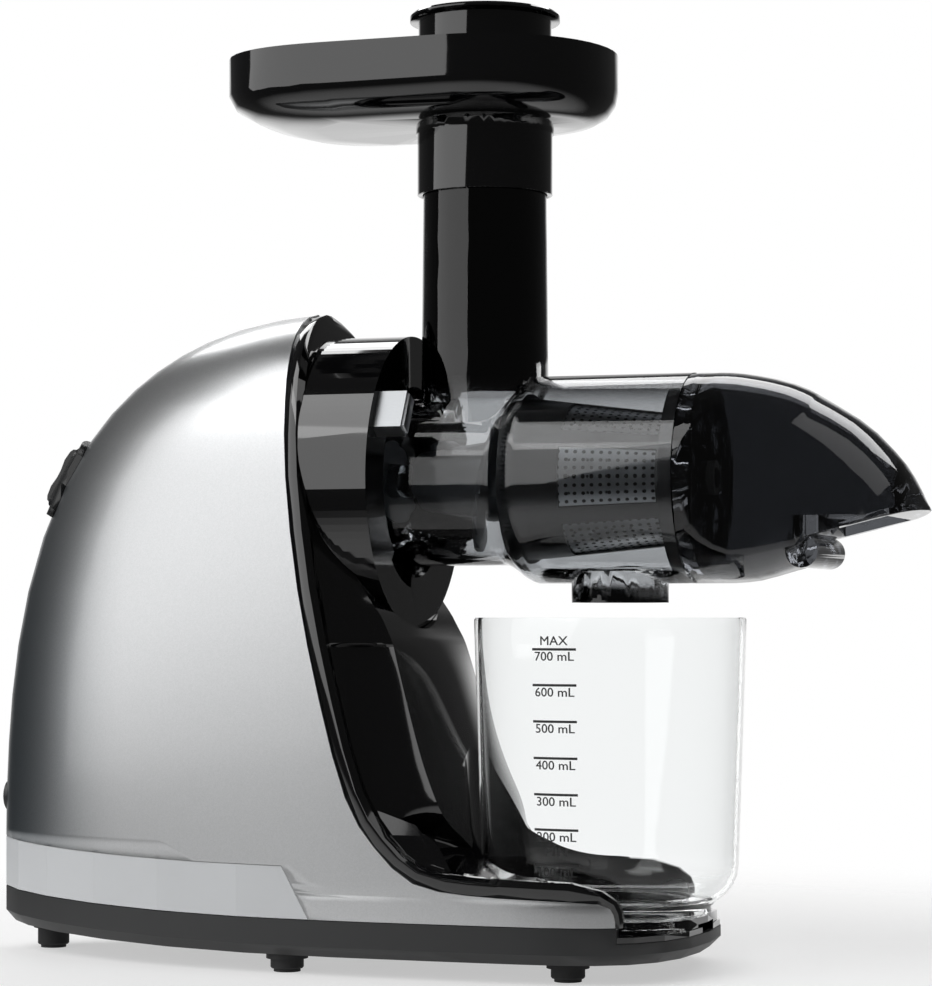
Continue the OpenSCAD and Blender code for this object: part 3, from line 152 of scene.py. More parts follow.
@dataclass(frozen=True)
class Finish:
    """A surface finish. Each kind adds what its real surface shows.

    Attributes:
        name: the material's name.
        colour: its main colour as sRGB hex.
        roughness: how far it scatters a reflection.
    """

    name: str
    colour: str
    roughness: float = 0.4

    def material(self) -> bpy.types.Material:
        """Returns the finish as a material, made once."""
        made = bpy.data.materials.get(self.name)
        if made is None:
            made = bpy.data.materials.new(self.name)
            made.use_nodes = True
            tree = made.node_tree
            tree.nodes.clear()
            out = tree.nodes.new("ShaderNodeOutputMaterial")
            place = shader(tree, "ShaderNodeTexCoord").outputs["Object"]
            surface = self.surface(tree, place)
            tree.links.new(surface.outputs[0], out.inputs["Surface"])
        return made

    def surface(self, tree: bpy.types.NodeTree, place: bpy.types.NodeSocket) -> bpy.types.Node:
        """Builds the nodes that end in the surface shader."""
        raise NotImplementedError

    def varied(self, tree: bpy.types.NodeTree, pattern: bpy.types.Node, low: float, high: float) -> bpy.types.Node:
        """Lets a pattern vary the roughness.

        Args:
            tree: the node tree.
            pattern: the pattern's node.
            low: the least roughness, as a share of the finish's own.
            high: the most, likewise.

        Returns:
            The node whose first output is the roughness.
        """
        ends = {"To Min": self.roughness * low, "To Max": self.roughness * high}
        return shader(tree, "ShaderNodeMapRange", ends, Value=pattern)


@dataclass(frozen=True)
class MouldedPlastic(Finish):
    """Injection moulded ABS or polypropylene: an even skin with a fine grain or a polished mould's slow waves.

    Attributes:
        grain_mm: size of the grain.
        grain_depth: strength of the bump.
        coat: a glossy top layer's weight.
        mottle: how much the colour varies.
    """

    grain_mm: float = 0.5
    grain_depth: float = 0.05
    coat: float = 0.0
    mottle: float = 0.06

    def surface(self, tree: bpy.types.NodeTree, place: bpy.types.NodeSocket) -> bpy.types.Node:
        """Builds the nodes that end in the surface shader."""
        grain = shader(tree, "ShaderNodeTexNoise", {"Scale": 1 / (self.grain_mm * MM), "Detail": 2.0}, Vector=place)
        cloud = shader(tree, "ShaderNodeTexNoise", {"Scale": 22.0, "Detail": 3.0}, Vector=place)
        base = linear(self.colour)
        tint = blend(tree, cloud, shaded(base, 1 - self.mottle), shaded(base, 1 + self.mottle))
        bump = shader(tree, "ShaderNodeBump", {"Strength": self.grain_depth, "Distance": 0.0001}, Height=grain)
        return shader(
            tree,
            "ShaderNodeBsdfPrincipled",
            {"IOR": 1.5, "Coat Weight": self.coat, "Coat Roughness": 0.03},
            Base_Color=tint,
            Roughness=self.varied(tree, cloud, 0.85, 1.15),
            Normal=bump,
        )


@dataclass(frozen=True)
class MetallicPaint(Finish):
    """Silver spray paint under a clear coat: fine aluminium flakes that glitter, with painted shade, a darker
    blue-grey tone towards the rear.

    Attributes:
        painted_shade_colour: the painted shade's darker blue-grey tone towards the rear.
        fade_x: where the painted shade starts and where it is darkest, along X in metres.
        glitter: how much the flakes' brightness varies.
    """

    painted_shade_colour: str = "#3c4850"
    fade_x: tuple[float, float] = (-0.11, -0.19)
    glitter: float = 0.06

    def surface(self, tree: bpy.types.NodeTree, place: bpy.types.NodeSocket) -> bpy.types.Node:
        """Builds the nodes that end in the surface shader."""
        flakes = shader(tree, "ShaderNodeTexVoronoi", {"Scale": 2600.0}, Vector=place)
        flake_tone = shader(
            tree,
            "ShaderNodeMapRange",
            {"To Min": 1 - self.glitter, "To Max": 1 + self.glitter},
            Value=flakes.outputs["Color"],
        )
        split = shader(tree, "ShaderNodeSeparateXYZ", Vector=place)
        # painted shade: the paint's colour darkens to a blue-grey towards the rear, standing in for the shade on the
        # shell's rear
        back = shader(
            tree,
            "ShaderNodeMapRange",
            {"interpolation_type": "SMOOTHSTEP", "From Min": self.fade_x[0], "From Max": self.fade_x[1]},
            Value=split.outputs["X"],
        )
        tone = blend(tree, back, linear(self.colour), linear(self.painted_shade_colour))
        lit = shader(tree, "ShaderNodeVectorMath", {"operation": "SCALE"}, _0=tone, Scale=flake_tone)
        bump = shader(
            tree, "ShaderNodeBump", {"Strength": 0.05, "Distance": 0.0001}, Height=flakes.outputs["Distance"]
        )
        return shader(
            tree,
            "ShaderNodeBsdfPrincipled",
            {"Metallic": 0.85, "Roughness": self.roughness, "Coat Weight": 0.35, "Coat Roughness": 0.08},
            Base_Color=lit,
            Normal=bump,
        )


@dataclass(frozen=True)
class ClearPlastic(Finish):
    """Polished clear or smoked copolyester: light passes with a tint and the mould leaves a faint waviness.

    Attributes:
        ior: refractive index.
        coat: weight of the reflecting skin, for a wall too thin to bend what is seen through it.
        dense: a darker tint, used past the heights in dense_mm.
        dense_mm: heights between which the tint grows dense, in millimetres.
    """

    ior: float = 1.5
    coat: float = 0.0
    dense: str = "#000000"
    dense_mm: Rows = ()

    def tint(self, tree: bpy.types.NodeTree, place: bpy.types.NodeSocket) -> bpy.types.NodeSocket:
        """Returns the plastic's colour, darker past the given heights."""
        split = shader(tree, "ShaderNodeSeparateXYZ", Vector=place)
        part = shader(tree, "ShaderNodeValue")
        for start, full in self.dense_mm:
            zone = shader(
                tree,
                "ShaderNodeMapRange",
                {"interpolation_type": "SMOOTHSTEP", "From Min": start * MM, "From Max": full * MM},
                Value=split.outputs["Z"],
            )
            part = shader(tree, "ShaderNodeMath", {"operation": "MAXIMUM"}, _0=part, _1=zone)
        return blend(tree, part, linear(self.colour), linear(self.dense))

    def surface(self, tree: bpy.types.NodeTree, place: bpy.types.NodeSocket) -> bpy.types.Node:
        """Builds the nodes that end in the surface shader."""
        wave = shader(tree, "ShaderNodeTexNoise", {"Scale": 60.0, "Detail": 1.0}, Vector=place)
        bump = shader(tree, "ShaderNodeBump", {"Strength": 0.01, "Distance": 0.0002}, Height=wave)
        return shader(
            tree,
            "ShaderNodeBsdfPrincipled",
            {"Transmission Weight": 1.0, "IOR": self.ior, "Coat Weight": self.coat, "Coat IOR": 1.5},
            Base_Color=self.tint(tree, place),
            Roughness=self.varied(tree, wave, 0.7, 1.3),
            Normal=bump,
        )


@dataclass(frozen=True)
class Metal(Finish):
    """Bare or plated metal: turned, brushed or polished, with fine lines along one axis.

    Attributes:
        line_mm: spacing of the finest lines.
        stretch: how much longer than wide a line is, along X, Y and Z.
        depth: strength of the lines.
    """

    line_mm: float = 0.3
    stretch: tuple[float, float, float] = (1.0, 1.0, 1.0)
    depth: float = 0.06

    def surface(self, tree: bpy.types.NodeTree, place: bpy.types.NodeSocket) -> bpy.types.Node:
        """Builds the nodes that end in the surface shader."""
        turn = shader(tree, "ShaderNodeMapping", {"Scale": tuple(1 / s for s in self.stretch)}, Vector=place)
        lines = shader(tree, "ShaderNodeTexNoise", {"Scale": 1 / (self.line_mm * MM), "Detail": 3.0}, Vector=turn)
        base = linear(self.colour)
        bump = shader(tree, "ShaderNodeBump", {"Strength": self.depth, "Distance": 0.00005}, Height=lines)
        return shader(
            tree,
            "ShaderNodeBsdfPrincipled",
            {"Metallic": 1.0},
            Base_Color=blend(tree, lines, shaded(base, 0.9), shaded(base, 1.08)),
            Roughness=self.varied(tree, lines, 0.8, 1.25),
            Normal=bump,
        )


@dataclass(frozen=True)
class PerforatedSheet(Metal):
    """Etched steel sheet bent round the juicing axis, with rows of fine round holes drawn as near-black spots: real
    holes, with painted shade for the dark inside seen through them.

    Attributes:
        pitch_mm: spacing of the holes along the axis.
        turn_deg: spacing of the holes round the axis.
        hole: the hole's radius as a share of the spacing.
        rim: width of the hole's edge, likewise.
    """

    pitch_mm: float = 3.2
    turn_deg: float = 6.3
    hole: float = 0.2
    rim: float = 0.05

    def surface(self, tree: bpy.types.NodeTree, place: bpy.types.NodeSocket) -> bpy.types.Node:
        """Builds the nodes that end in the surface shader."""
        steel = super().surface(tree, place)
        split = shader(tree, "ShaderNodeSeparateXYZ", Vector=place)
        rise = shader(tree, "ShaderNodeMath", {"operation": "SUBTRACT", 1: AXIS_Z * MM}, _0=split.outputs["Z"])
        around = shader(tree, "ShaderNodeMath", {"operation": "ARCTAN2"}, _0=rise, _1=split.outputs["Y"])
        steps = (
            (split.outputs["X"], 1 / (self.pitch_mm * MM)),
            (around.outputs[0], 1 / math.radians(self.turn_deg)),
        )
        offsets = []
        for value, scale in steps:
            cell = shader(tree, "ShaderNodeMath", {"operation": "MULTIPLY", 1: scale}, _0=value)
            within = shader(tree, "ShaderNodeMath", {"operation": "FRACT"}, _0=cell)
            offsets.append(shader(tree, "ShaderNodeMath", {"operation": "SUBTRACT", 1: 0.5}, _0=within))
        spot = shader(tree, "ShaderNodeCombineXYZ", _0=offsets[0], _1=offsets[1])
        reach = shader(tree, "ShaderNodeVectorMath", {"operation": "LENGTH"}, _0=spot)
        solid = shader(
            tree,
            "ShaderNodeMapRange",
            {"From Min": self.hole, "From Max": self.hole + self.rim},
            Value=reach.outputs["Value"],
        )
        # painted shade: each hole is a near-black spot standing in for the shaded inside seen through it
        dark = shader(tree, "ShaderNodeBsdfDiffuse", {"Color": linear("#0c0c0d")})
        return shader(tree, "ShaderNodeMixShader", None, Fac=solid, _1=dark, _2=steel)


SILVER_PAINT = MetallicPaint("silver_paint_on_abs", "#b6b7b8", 0.31)
TRIM_ABS = MouldedPlastic("light_grey_abs", "#c2c4c6", 0.38, grain_mm=0.6, grain_depth=0.03)
PAN_ABS = MouldedPlastic("charcoal_abs", "#18191a", 0.5, grain_mm=0.4, grain_depth=0.12)
FOOT_RUBBER = MouldedPlastic("moulded_rubber", "#1d1d1e", 0.75, grain_mm=0.35, grain_depth=0.2)
BLACK_GLOSS = MouldedPlastic("black_abs_polished", "#060607", 0.07, grain_mm=30.0, grain_depth=0.02, coat=0.5)
SMOKED = ClearPlastic(
    "smoked_copolyester", "#c8cacc", 0.02, ior=1.45, dense="#1c1d1f", dense_mm=((212.0, 222.0), (145.0, 141.0))
)
HOOD_SMOKE = ClearPlastic("smoked_copolyester_dark", "#55575b", 0.02, ior=1.45)
CLEAR = ClearPlastic("clear_copolyester", "#fdfefe", 0.01, ior=1.03, coat=0.5)
STRAINER_BLACK = MouldedPlastic("black_glassfilled_pp", "#17181a", 0.3, grain_mm=0.8, grain_depth=0.05)
PERFORATED = PerforatedSheet("etched_steel_sheet", "#b9bcbf", 0.3, line_mm=0.25, depth=0.03)
AUGER_PLASTIC = MouldedPlastic("grey_pei_auger", "#3f4246", 0.35, grain_mm=0.5, grain_depth=0.06)
BRIGHT_STEEL = Metal("turned_steel", "#c5c8cb", 0.28, line_mm=0.2, stretch=(1.0, 6.0, 6.0))
CHROME = Metal("satin_chrome", "#9c9ea0", 0.34, line_mm=0.25, stretch=(8.0, 1.0, 1.0), depth=0.1)
SWITCH_BLACK = MouldedPlastic("black_nylon", "#151617", 0.4, grain_mm=0.3, grain_depth=0.12)
SEAL_SILICONE = MouldedPlastic("grey_silicone", "#55585c", 0.6, grain_mm=0.8, grain_depth=0.05)
BOARD = MouldedPlastic("coated_board", "#24583a", 0.35, grain_mm=0.8, grain_depth=0.2)
CAST_ALLOY = Metal("die_cast_alloy", "#a2a5a9", 0.45, line_mm=1.2, depth=0.2)
ACETAL = MouldedPlastic("natural_acetal", "#ddd9cd", 0.4, grain_mm=0.7, grain_depth=0.04)
SINTERED = Metal("sintered_steel", "#7b7d80", 0.4, line_mm=0.3, depth=0.15)
LAMINATIONS = Metal("stacked_sheet_steel", "#6b6e72", 0.4, line_mm=0.5, stretch=(1.0, 40.0, 40.0), depth=0.5)
COPPER = Metal("enamelled_copper_wire", "#b0602c", 0.35, line_mm=0.6, stretch=(20.0, 1.0, 1.0), depth=0.4)
GRAPHITE = MouldedPlastic("graphite", "#2c2c2d", 0.55, grain_mm=0.3, grain_depth=0.15)
INK = MouldedPlastic("black_pad_print", "#111213", 0.5, grain_mm=0.5, grain_depth=0.02)


def dress(piece: bpy.types.Object, finish: Finish) -> None:
    """Gives a piece one finish all over."""
    piece.data.materials.clear()
    piece.data.materials.append(finish.material())


def piece_of(bm: bmesh.types.BMesh, name: str) -> bpy.types.Object:
    """Turns a bmesh, in metres, into a piece at the origin, and frees it."""
    mesh = bpy.data.meshes.new(name)
    bm.to_mesh(mesh)
    bm.free()
    piece = bpy.data.objects.new(name, mesh)
    bpy.context.scene.collection.objects.link(piece)
    return piece


def cad_copy(node: str) -> bmesh.types.BMesh:
    """Returns a copy of a CAD node's mesh, welded and rid of slivers."""
    bm = bmesh.new()
    bm.from_mesh(frame["nodes"][node].data)
    bmesh.ops.remove_doubles(bm, verts=bm.verts, dist=WELD_M)
    bmesh.ops.dissolve_degenerate(bm, dist=SLIVER_M, edges=bm.edges)
    return bm


def even_shading(piece: bpy.types.Object) -> None:
    """Lets a piece's large faces set the shading of the edges beside them."""
    weighted = piece.modifiers.new("even_normals", "WEIGHTED_NORMAL")
    weighted.keep_sharp = True
    weighted.weight = 60


def finish_mesh(bm: bmesh.types.BMesh, name: str, finish: Finish, sharp_deg: float) -> bpy.types.Object:
    """Turns a bmesh, in metres, into a smooth-shaded piece.

    Args:
        bm: the bmesh, which is freed.
        name: the piece's name.
        finish: its finish.
        sharp_deg: edges that turn more than this stay crisp.

    Returns:
        The piece.
    """
    piece = piece_of(bm, name)
    piece.data.shade_smooth()
    piece.data.set_sharp_from_angle(angle=math.radians(sharp_deg))
    dress(piece, finish)
    return piece


def smooth_twin(name: str, node: str, finish: Finish, sharp_deg: float, even: bool, round_mm: float) -> None:
    """Makes a smooth-shaded copy of a CAD node that stands in its place and rides with its body.

    Args:
        name: the piece's name.
        node: the CAD node.
        finish: the piece's finish.
        sharp_deg: edges that turn more than this stay crisp.
        even: whether large faces set the shading of the edges beside them.
        round_mm: radius of the crisp edges, zero where they stay crisp.
    """
    source = frame["nodes"][node]
    piece = finish_mesh(cad_copy(node), name, finish, sharp_deg)
    if round_mm:
        rounding = piece.modifiers.new("rounded_edges", "BEVEL")
        rounding.width = round_mm * MM
        rounding.segments = 3
        rounding.limit_method = "ANGLE"
        rounding.angle_limit = math.radians(sharp_deg)
        rounding.harden_normals = True
    if even:
        even_shading(piece)
    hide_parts(node)
    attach(piece, source["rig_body"])


@dataclass
class PlainNodes:
    """CAD nodes whose own shape is right, each with its finish."""

    finishes: tuple[tuple[Finish, tuple[str, ...]], ...] = (
        (FOOT_RUBBER, ("rubber_feet",)),
        (BRIGHT_STEEL, ("pan_screws", "collar_screws", "gearbox_screws", "output_bearing", "front_bearing")),
        (BRIGHT_STEEL, ("rear_bearing", "motor_spacers", "output_shaft", "second_shaft", "first_shaft")),
        (BRIGHT_STEEL, ("motor_shaft", "auger_hub", "lock_spring")),
        (SEAL_SILICONE, ("shaft_seal", "drum_seal")),
        (SWITCH_BLACK, ("cord_gland",)),
        (BOARD, ("control_board",)),
        (CAST_ALLOY, ("gearbox_cover", "gearbox_case", "motor_bracket", "motor_rear_bracket")),
        (SINTERED, ("output_gear",)),
        (ACETAL, ("second_gear", "first_gear", "cooling_fan", "cap_bush")),
        (LAMINATIONS, ("stator_core", "rotor_core")),
        (COPPER, ("stator_windings", "commutator")),
        (GRAPHITE, ("carbon_brushes",)),
        (PERFORATED, ("strainer_mesh",)),
    )

    def build(self) -> None:
        """Dresses each node."""
        for finish, names in self.finishes:
            for name in names:
                dress(frame["nodes"][name], finish)
            log.info("dressed %s as %s", ", ".join(names), finish.name)


@dataclass
class SmoothNodes:
    """CAD nodes that get a smooth-shaded twin.

    Attributes:
        sharp_deg: edges that turn more than this stay crisp.
        twins: piece, node, finish, whether its large faces set the shading, and its edges' radius.
    """

    sharp_deg: float = 30.0
    twins: tuple[tuple[str, str, Finish, bool, float], ...] = (
        ("shell_skin", "housing_shell", SILVER_PAINT, False, 0.0),
        ("trim_skin", "side_trim", TRIM_ABS, False, 0.0),
        ("pan_skin", "bottom_pan", PAN_ABS, True, 0.0),
        ("collar_skin", "drive_collar", BLACK_GLOSS, False, 0.45),
        ("drum_skin", "juicing_drum", SMOKED, True, 0.0),
        ("auger_skin", "auger", AUGER_PLASTIC, False, 0.0),
        ("strainer_skin", "strainer_frame", STRAINER_BLACK, True, 0.0),
        ("cap_skin", "end_cap", HOOD_SMOKE, True, 0.0),
        ("tray_skin", "feeding_tray", BLACK_GLOSS, True, 0.0),
        ("pusher_skin", "pusher", BLACK_GLOSS, True, 0.0),
        ("cup_skin", "juice_cup", CLEAR, False, 0.0),
        ("button_skin", "lock_button", CHROME, False, 0.7),
        ("bezel_skin", "switch_bezel", SWITCH_BLACK, True, 0.0),
        ("rocker_skin", "rocker_switch", SWITCH_BLACK, True, 0.5),
    )

    def build(self) -> None:
        """Builds each twin."""
        for name, node, finish, even, round_mm in self.twins:
            smooth_twin(name, node, finish, self.sharp_deg, even, round_mm)
            log.info("built %s", name)


@dataclass
class FrontWall:
    """The glossy wall behind the cup: a spine under the collar, a scoop on each side and the deck's rising edges.

    Measures are in millimetres, with X from the cup's axis.

    Attributes:
        rim_line: the housing's cut edge from the deck to beside the collar, along X from the cup and Z.
        recess: how far in front of that edge the wall lies, one value for each point of the line.
        wall_half: height and half-width of the wall inside the rim.
        clear_x: front corners of the room cleared before the wall, the upper and the lower one.
        clear_rise: how far the lower one lies above the line's start.
        spine_front: height and place of the spine's front edges.
        spine_half: height and half-width of the spine.
        bulge: height and rise of the spine's rounded front.
        spine_least: least depth of the spine in front of the wall.
        spine_root: how far the spine reaches behind the wall's face.
        scoop_reach: how far forward a scoop's hollow side runs, as a share of the spine's depth.
        scoop_inset: how far inside the spine's edge that side starts.
        scoop_top: heights between which the scoops close.
        spine_rows: start, step and count of the spine's rows: below the scoops' top, in it and above it.
        side_parts, face_parts: parts of the spine's side and of half its front.
        deck_rise: how the deck's height above the rim grows inwards, along Y and Z.
        deck_x: middle and length of the deck pieces.
        deck_flat: where the rise starts, and over what length it grows full towards the rear.
        deck_thick: thickness of the deck pieces.
        bay_r, bay_z: radius and heights of the room for the cup.
        collar_r, collar_x: radius and ends of the collar's seat.
        crisp_deg: edges that turn more than this stay crisp.
    """

    rim_line: Rows = (
        (-11.5, 30.4), (-23.6, 30.7), (-35.3, 31.4), (-46.2, 32.5), (-56.0, 35.1), (-64.1, 40.6), (-71.0, 47.9),
        (-76.9, 55.4), (-82.3, 65.6), (-87.5, 81.5), (-92.5, 100.3), (-97.3, 120.4), (-101.5, 141.3),
        (-104.9, 162.8), (-107.6, 182.7), (-109.4, 198.4), (-110.6, 211.0),
    )
    recess: tuple[float, ...] = (6.6, 5.6, 4.6, 4.4, 4.4, 4.4, 4.4, 4.4, 4.4, 4.4, 4.4, 4.4, 5.0, 6.7, 6.7, 6.7, 6.7)
    wall_half: Rows = (
        (28.0, 56.6), (100.0, 56.6), (141.0, 56.4), (163.0, 55.0), (183.0, 51.5), (211.0, 45.0)
    )
    clear_x: tuple[float, float] = (-20.0, -5.0)
    clear_rise: float = 12.0
    spine_front: Rows = (
        (30.0, -31.0), (36.0, -34.0), (43.0, -39.0), (52.0, -46.0), (66.0, -53.0), (80.0, -58.7), (98.0, -64.5),
        (115.0, -69.3), (122.0, -71.4), (128.0, -74.3), (132.0, -76.4), (140.0, -82.0), (150.0, -87.4),
        (159.0, -91.4), (172.0, -96.2), (188.0, -101.2), (206.0, -106.0),
    )
    spine_half: Rows = (
        (30.0, 36.0), (46.0, 37.0), (51.0, 40.0), (55.0, 45.0), (61.0, 48.0), (70.0, 47.5), (86.0, 45.5),
        (100.0, 44.0), (115.0, 43.0), (122.0, 42.0), (132.0, 41.0), (160.0, 44.0), (206.0, 44.0),
    )
    bulge: Rows = ((30.0, 5.0), (98.0, 4.5), (112.0, 3.6), (122.0, 1.6), (128.0, 0.2), (206.0, 0.2))
    spine_least: float = 1.0
    spine_root: float = 6.0
    scoop_reach: float = 0.4
    scoop_inset: float = 0.2
    scoop_top: tuple[float, float] = (120.2, 121.4)
    spine_rows: tuple[tuple[float, float, int], ...] = ((28.0, 2.5, 37), (120.2, 0.5, 7), (124.0, 2.5, 27))
    side_parts: int = 10
    face_parts: int = 8
    deck_rise: Rows = ((0.0, 0.0), (4.0, 1.9), (9.0, 4.4), (15.0, 7.6), (22.0, 12.0), (30.0, 18.0))
    deck_x: tuple[float, float] = (-49.0, 82.0)
    deck_flat: tuple[float, float] = (4.0, 40.0)
    deck_thick: float = 5.0
    bay_r: float = 54.5
    bay_z: tuple[float, float] = (18.0, 170.0)
    collar_r: float = 55.8
    collar_x: tuple[float, float] = (-107.0, -40.0)
    crisp_deg: float = 28.0

    def at(self, rows: Sequence[tuple[float, float]], z: float) -> float:
        """Reads a row table at a height, with a smooth curve through its points.

        Args:
            rows: heights and values, lowest first.
            z: the height.

        Returns:
            The value.
        """
        last = len(rows) - 2
        i = max(0, min(last, sum(1 for row in rows if row[0] <= z) - 1))
        (z0, v0), (z1, v1) = rows[i], rows[i + 1]
        before, after = rows[max(0, i - 1)], rows[min(last + 1, i + 2)]
        slope0 = (v1 - before[1]) / (z1 - before[0])
        slope1 = (after[1] - v0) / (after[0] - z0)
        t = min(1.0, max(0.0, (z - z0) / (z1 - z0)))
        step = z1 - z0
        return (
            (2 * t**3 - 3 * t**2 + 1) * v0
            + (t**3 - 2 * t**2 + t) * step * slope0
            + (3 * t**2 - 2 * t**3) * v1
            + (t**3 - t**2) * step * slope1
        )

    def wall_line(self) -> list[tuple[float, float]]:
        """Returns the wall's side view, the rim's line moved forwards and up by the recess."""
        line = []
        for i, (x, z) in enumerate(self.rim_line):
            before, after = self.rim_line[max(0, i - 1)], self.rim_line[min(len(self.rim_line) - 1, i + 1)]
            way = Vector((after[0] - before[0], after[1] - before[1])).normalized()
            line.append((x + self.recess[i] * way.y, z - self.recess[i] * way.x))
        return line

    def section(self, z: float) -> list[tuple[float, float]]:
        """Returns the spine's level section at a height, from the near back corner round the front to the far one."""
        front, half = self.at(self.spine_front, z), self.at(self.spine_half, z)
        line = sorted((row[1], row[0]) for row in self.wall_line())
        wall = min(self.at(line, max(z, line[0][0])), front - self.spine_least)
        low, high = self.scoop_top
        hollow = 1.0 - min(1.0, max(0.0, (z - low) / (high - low)))
        wide = self.at(self.wall_half, z)
        start, end = Vector((wall, wide)), Vector((front, half))
        straight = start.lerp(end, 0.5)
        scooped = Vector((start.x + self.scoop_reach * (end.x - start.x), half - self.scoop_inset))
        bend = straight.lerp(scooped, hollow)
        shares = [k / self.side_parts for k in range(self.side_parts + 1)]
        side = [start * (1 - t) ** 2 + bend * (2 * t * (1 - t)) + end * t**2 for t in shares]
        rise = self.at(self.bulge, z)
        face = [
            Vector((front + rise * (1 - (k / self.face_parts) ** 2), half * k / self.face_parts))
            for k in range(self.face_parts - 1, -self.face_parts, -1)
        ]
        behind = wall - self.spine_root
        ring = [Vector((behind, wide))] + side + face
        ring += [Vector((p.x, -p.y)) for p in reversed(side)] + [Vector((behind, -wide))]
        return [(p.x, p.y) for p in ring]

    def block(self, name: str, bm: bmesh.types.BMesh) -> bpy.types.Object:
        """Turns a bmesh drawn in millimetres from the cup's axis into an object for cutting with."""
        bmesh.ops.recalc_face_normals(bm, faces=bm.faces)
        bmesh.ops.transform(bm, matrix=Matrix.Scale(MM, 4) @ Matrix.Translation((CUP_X, 0.0, 0.0)), verts=bm.verts)
        return piece_of(bm, name)

    def cut(self, mesh_of: bpy.types.Object, cutters: Iterable[bpy.types.Object]) -> bmesh.types.BMesh:
        """Cuts blocks out of a piece and returns what is left, and removes all of them.

        Args:
            mesh_of: the piece that is cut.
            cutters: the blocks.

        Returns:
            The cut mesh.
        """
        cutters = list(cutters)
        for cutter in cutters:
            step = mesh_of.modifiers.new("cut", "BOOLEAN")
            step.operation, step.solver, step.object = "DIFFERENCE", "EXACT", cutter
        bpy.context.view_layer.update()
        bm = bmesh.new()
        bm.from_object(mesh_of, bpy.context.evaluated_depsgraph_get())
        for used in [mesh_of, *cutters]:
            bpy.data.objects.remove(used)
        bmesh.ops.remove_doubles(bm, verts=bm.verts, dist=CUT_WELD_M)
        bmesh.ops.dissolve_degenerate(bm, dist=CUT_SLIVER_M, edges=bm.edges)
        return bm

    def round_block(self, name: str, r: float, low: float, high: float, lying: bool) -> bpy.types.Object:
        """Makes a round block.

        Args:
            name: its name.
            r: its radius.
            low: where it starts, along its own axis.
            high: where it ends.
            lying: whether it lies along the juicing axis or stands about the cup's axis.

        Returns:
            The block.
        """
        bm = bmesh.new()
        bmesh.ops.create_cone(bm, cap_ends=True, segments=160, radius1=r, radius2=r, depth=high - low)
        bmesh.ops.translate(bm, vec=(0.0, 0.0, (low + high) / 2), verts=bm.verts)
        if lying:
            turn = Matrix.Translation((0.0, 0.0, AXIS_Z)) @ Matrix.Rotation(math.radians(90), 4, "Y")
            bmesh.ops.transform(bm, matrix=turn, verts=bm.verts)
        return self.block(name, bm)

    def wall_block(self) -> bpy.types.Object:
        """Makes the block that clears the old wall, in front of the new one."""
        bm = bmesh.new()
        line = self.wall_line()
        upper, lower = self.clear_x
        outline = [*line, (upper, line[-1][1]), (lower, line[0][1] + self.clear_rise)]
        verts = [bm.verts.new((x, -self.at(self.wall_half, z), z)) for x, z in outline]
        face = bm.faces.new(verts)
        pushed = bmesh.ops.extrude_face_region(bm, geom=[face])
        for vert in (v for v in pushed["geom"] if isinstance(v, bmesh.types.BMVert)):
            vert.co.y *= -1
        return self.block("wall_block", bm)

    def spine_block(self) -> bpy.types.Object:
        """Makes the spine by extruding its level section upwards from row to row."""
        rows = [start + step * k for start, step, count in self.spine_rows for k in range(count)]
        bm = bmesh.new()
        ring = [bm.verts.new((x, y, rows[0])) for x, y in self.section(rows[0])]
        bm.verts.index_update()
        edges = [bm.edges.new((ring[k - 1], ring[k])) for k in range(len(ring))]
        bmesh.ops.contextual_create(bm, geom=edges)
        for z in rows[1:]:
            raised = bmesh.ops.extrude_edge_only(bm, edges=edges)["geom"]
            edges = [part for part in raised if isinstance(part, bmesh.types.BMEdge)]
            level = [part for part in raised if isinstance(part, bmesh.types.BMVert)]
            for vert, (x, y) in zip(level, self.section(z)):
                vert.co = (x, y, z)
        bmesh.ops.contextual_create(bm, geom=edges)
        return self.block("spine_block", bm)

    def deck_block(self, side: int) -> bpy.types.Object:
        """Makes the deck of one side, a slab whose top rises from the rim inwards and to the rear.

        Args:
            side: -1 for the near side, 1 for the far one.

        Returns:
            The slab.
        """
        line = sorted(self.wall_line())
        bm = bmesh.new()
        bmesh.ops.create_grid(bm, x_segments=48, y_segments=20, size=0.5)
        wide = self.wall_half[0][1]
        (middle, length), (start, grown) = self.deck_x, self.deck_flat
        for vert in bm.verts:
            x, inwards = middle + length * vert.co.x, self.deck_rise[-1][0] * (vert.co.y + 0.5)
            share = min(1.0, max(0.0, (start - x) / grown))
            vert.co = (x, side * (wide - inwards), self.at(line, x) + share * self.at(self.deck_rise, inwards))
        pushed = bmesh.ops.extrude_face_region(bm, geom=list(bm.faces))["geom"]
        lower = [part for part in pushed if isinstance(part, bmesh.types.BMVert)]
        bmesh.ops.translate(bm, vec=(0.0, 0.0, -self.deck_thick), verts=lower)
        return self.block("deck_block", bm)

    def build(self) -> None:
        """Builds the frame with its old wall cleared, and the spine and decks in front of it."""
        cleared = self.cut(piece_of(cad_copy("front_frame"), "frame_copy"), [self.wall_block()])
        pieces = [finish_mesh(cleared, "frame_skin", BLACK_GLOSS, self.crisp_deg)]
        blocks = (
            ("front_spine", self.spine_block()),
            ("deck_near", self.deck_block(-1)),
            ("deck_far", self.deck_block(1)),
        )
        for name, block in blocks:
            bay = self.round_block("bay_block", self.bay_r, *self.bay_z, False)
            seat = self.round_block("seat_block", self.collar_r, *self.collar_x, True)
            pieces.append(finish_mesh(self.cut(block, [bay, seat]), name, BLACK_GLOSS, self.crisp_deg))
        for piece in pieces:
            even_shading(piece)
            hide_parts("front_frame")
            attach(piece, Body.BASE.value)
        log.info("built the front wall")


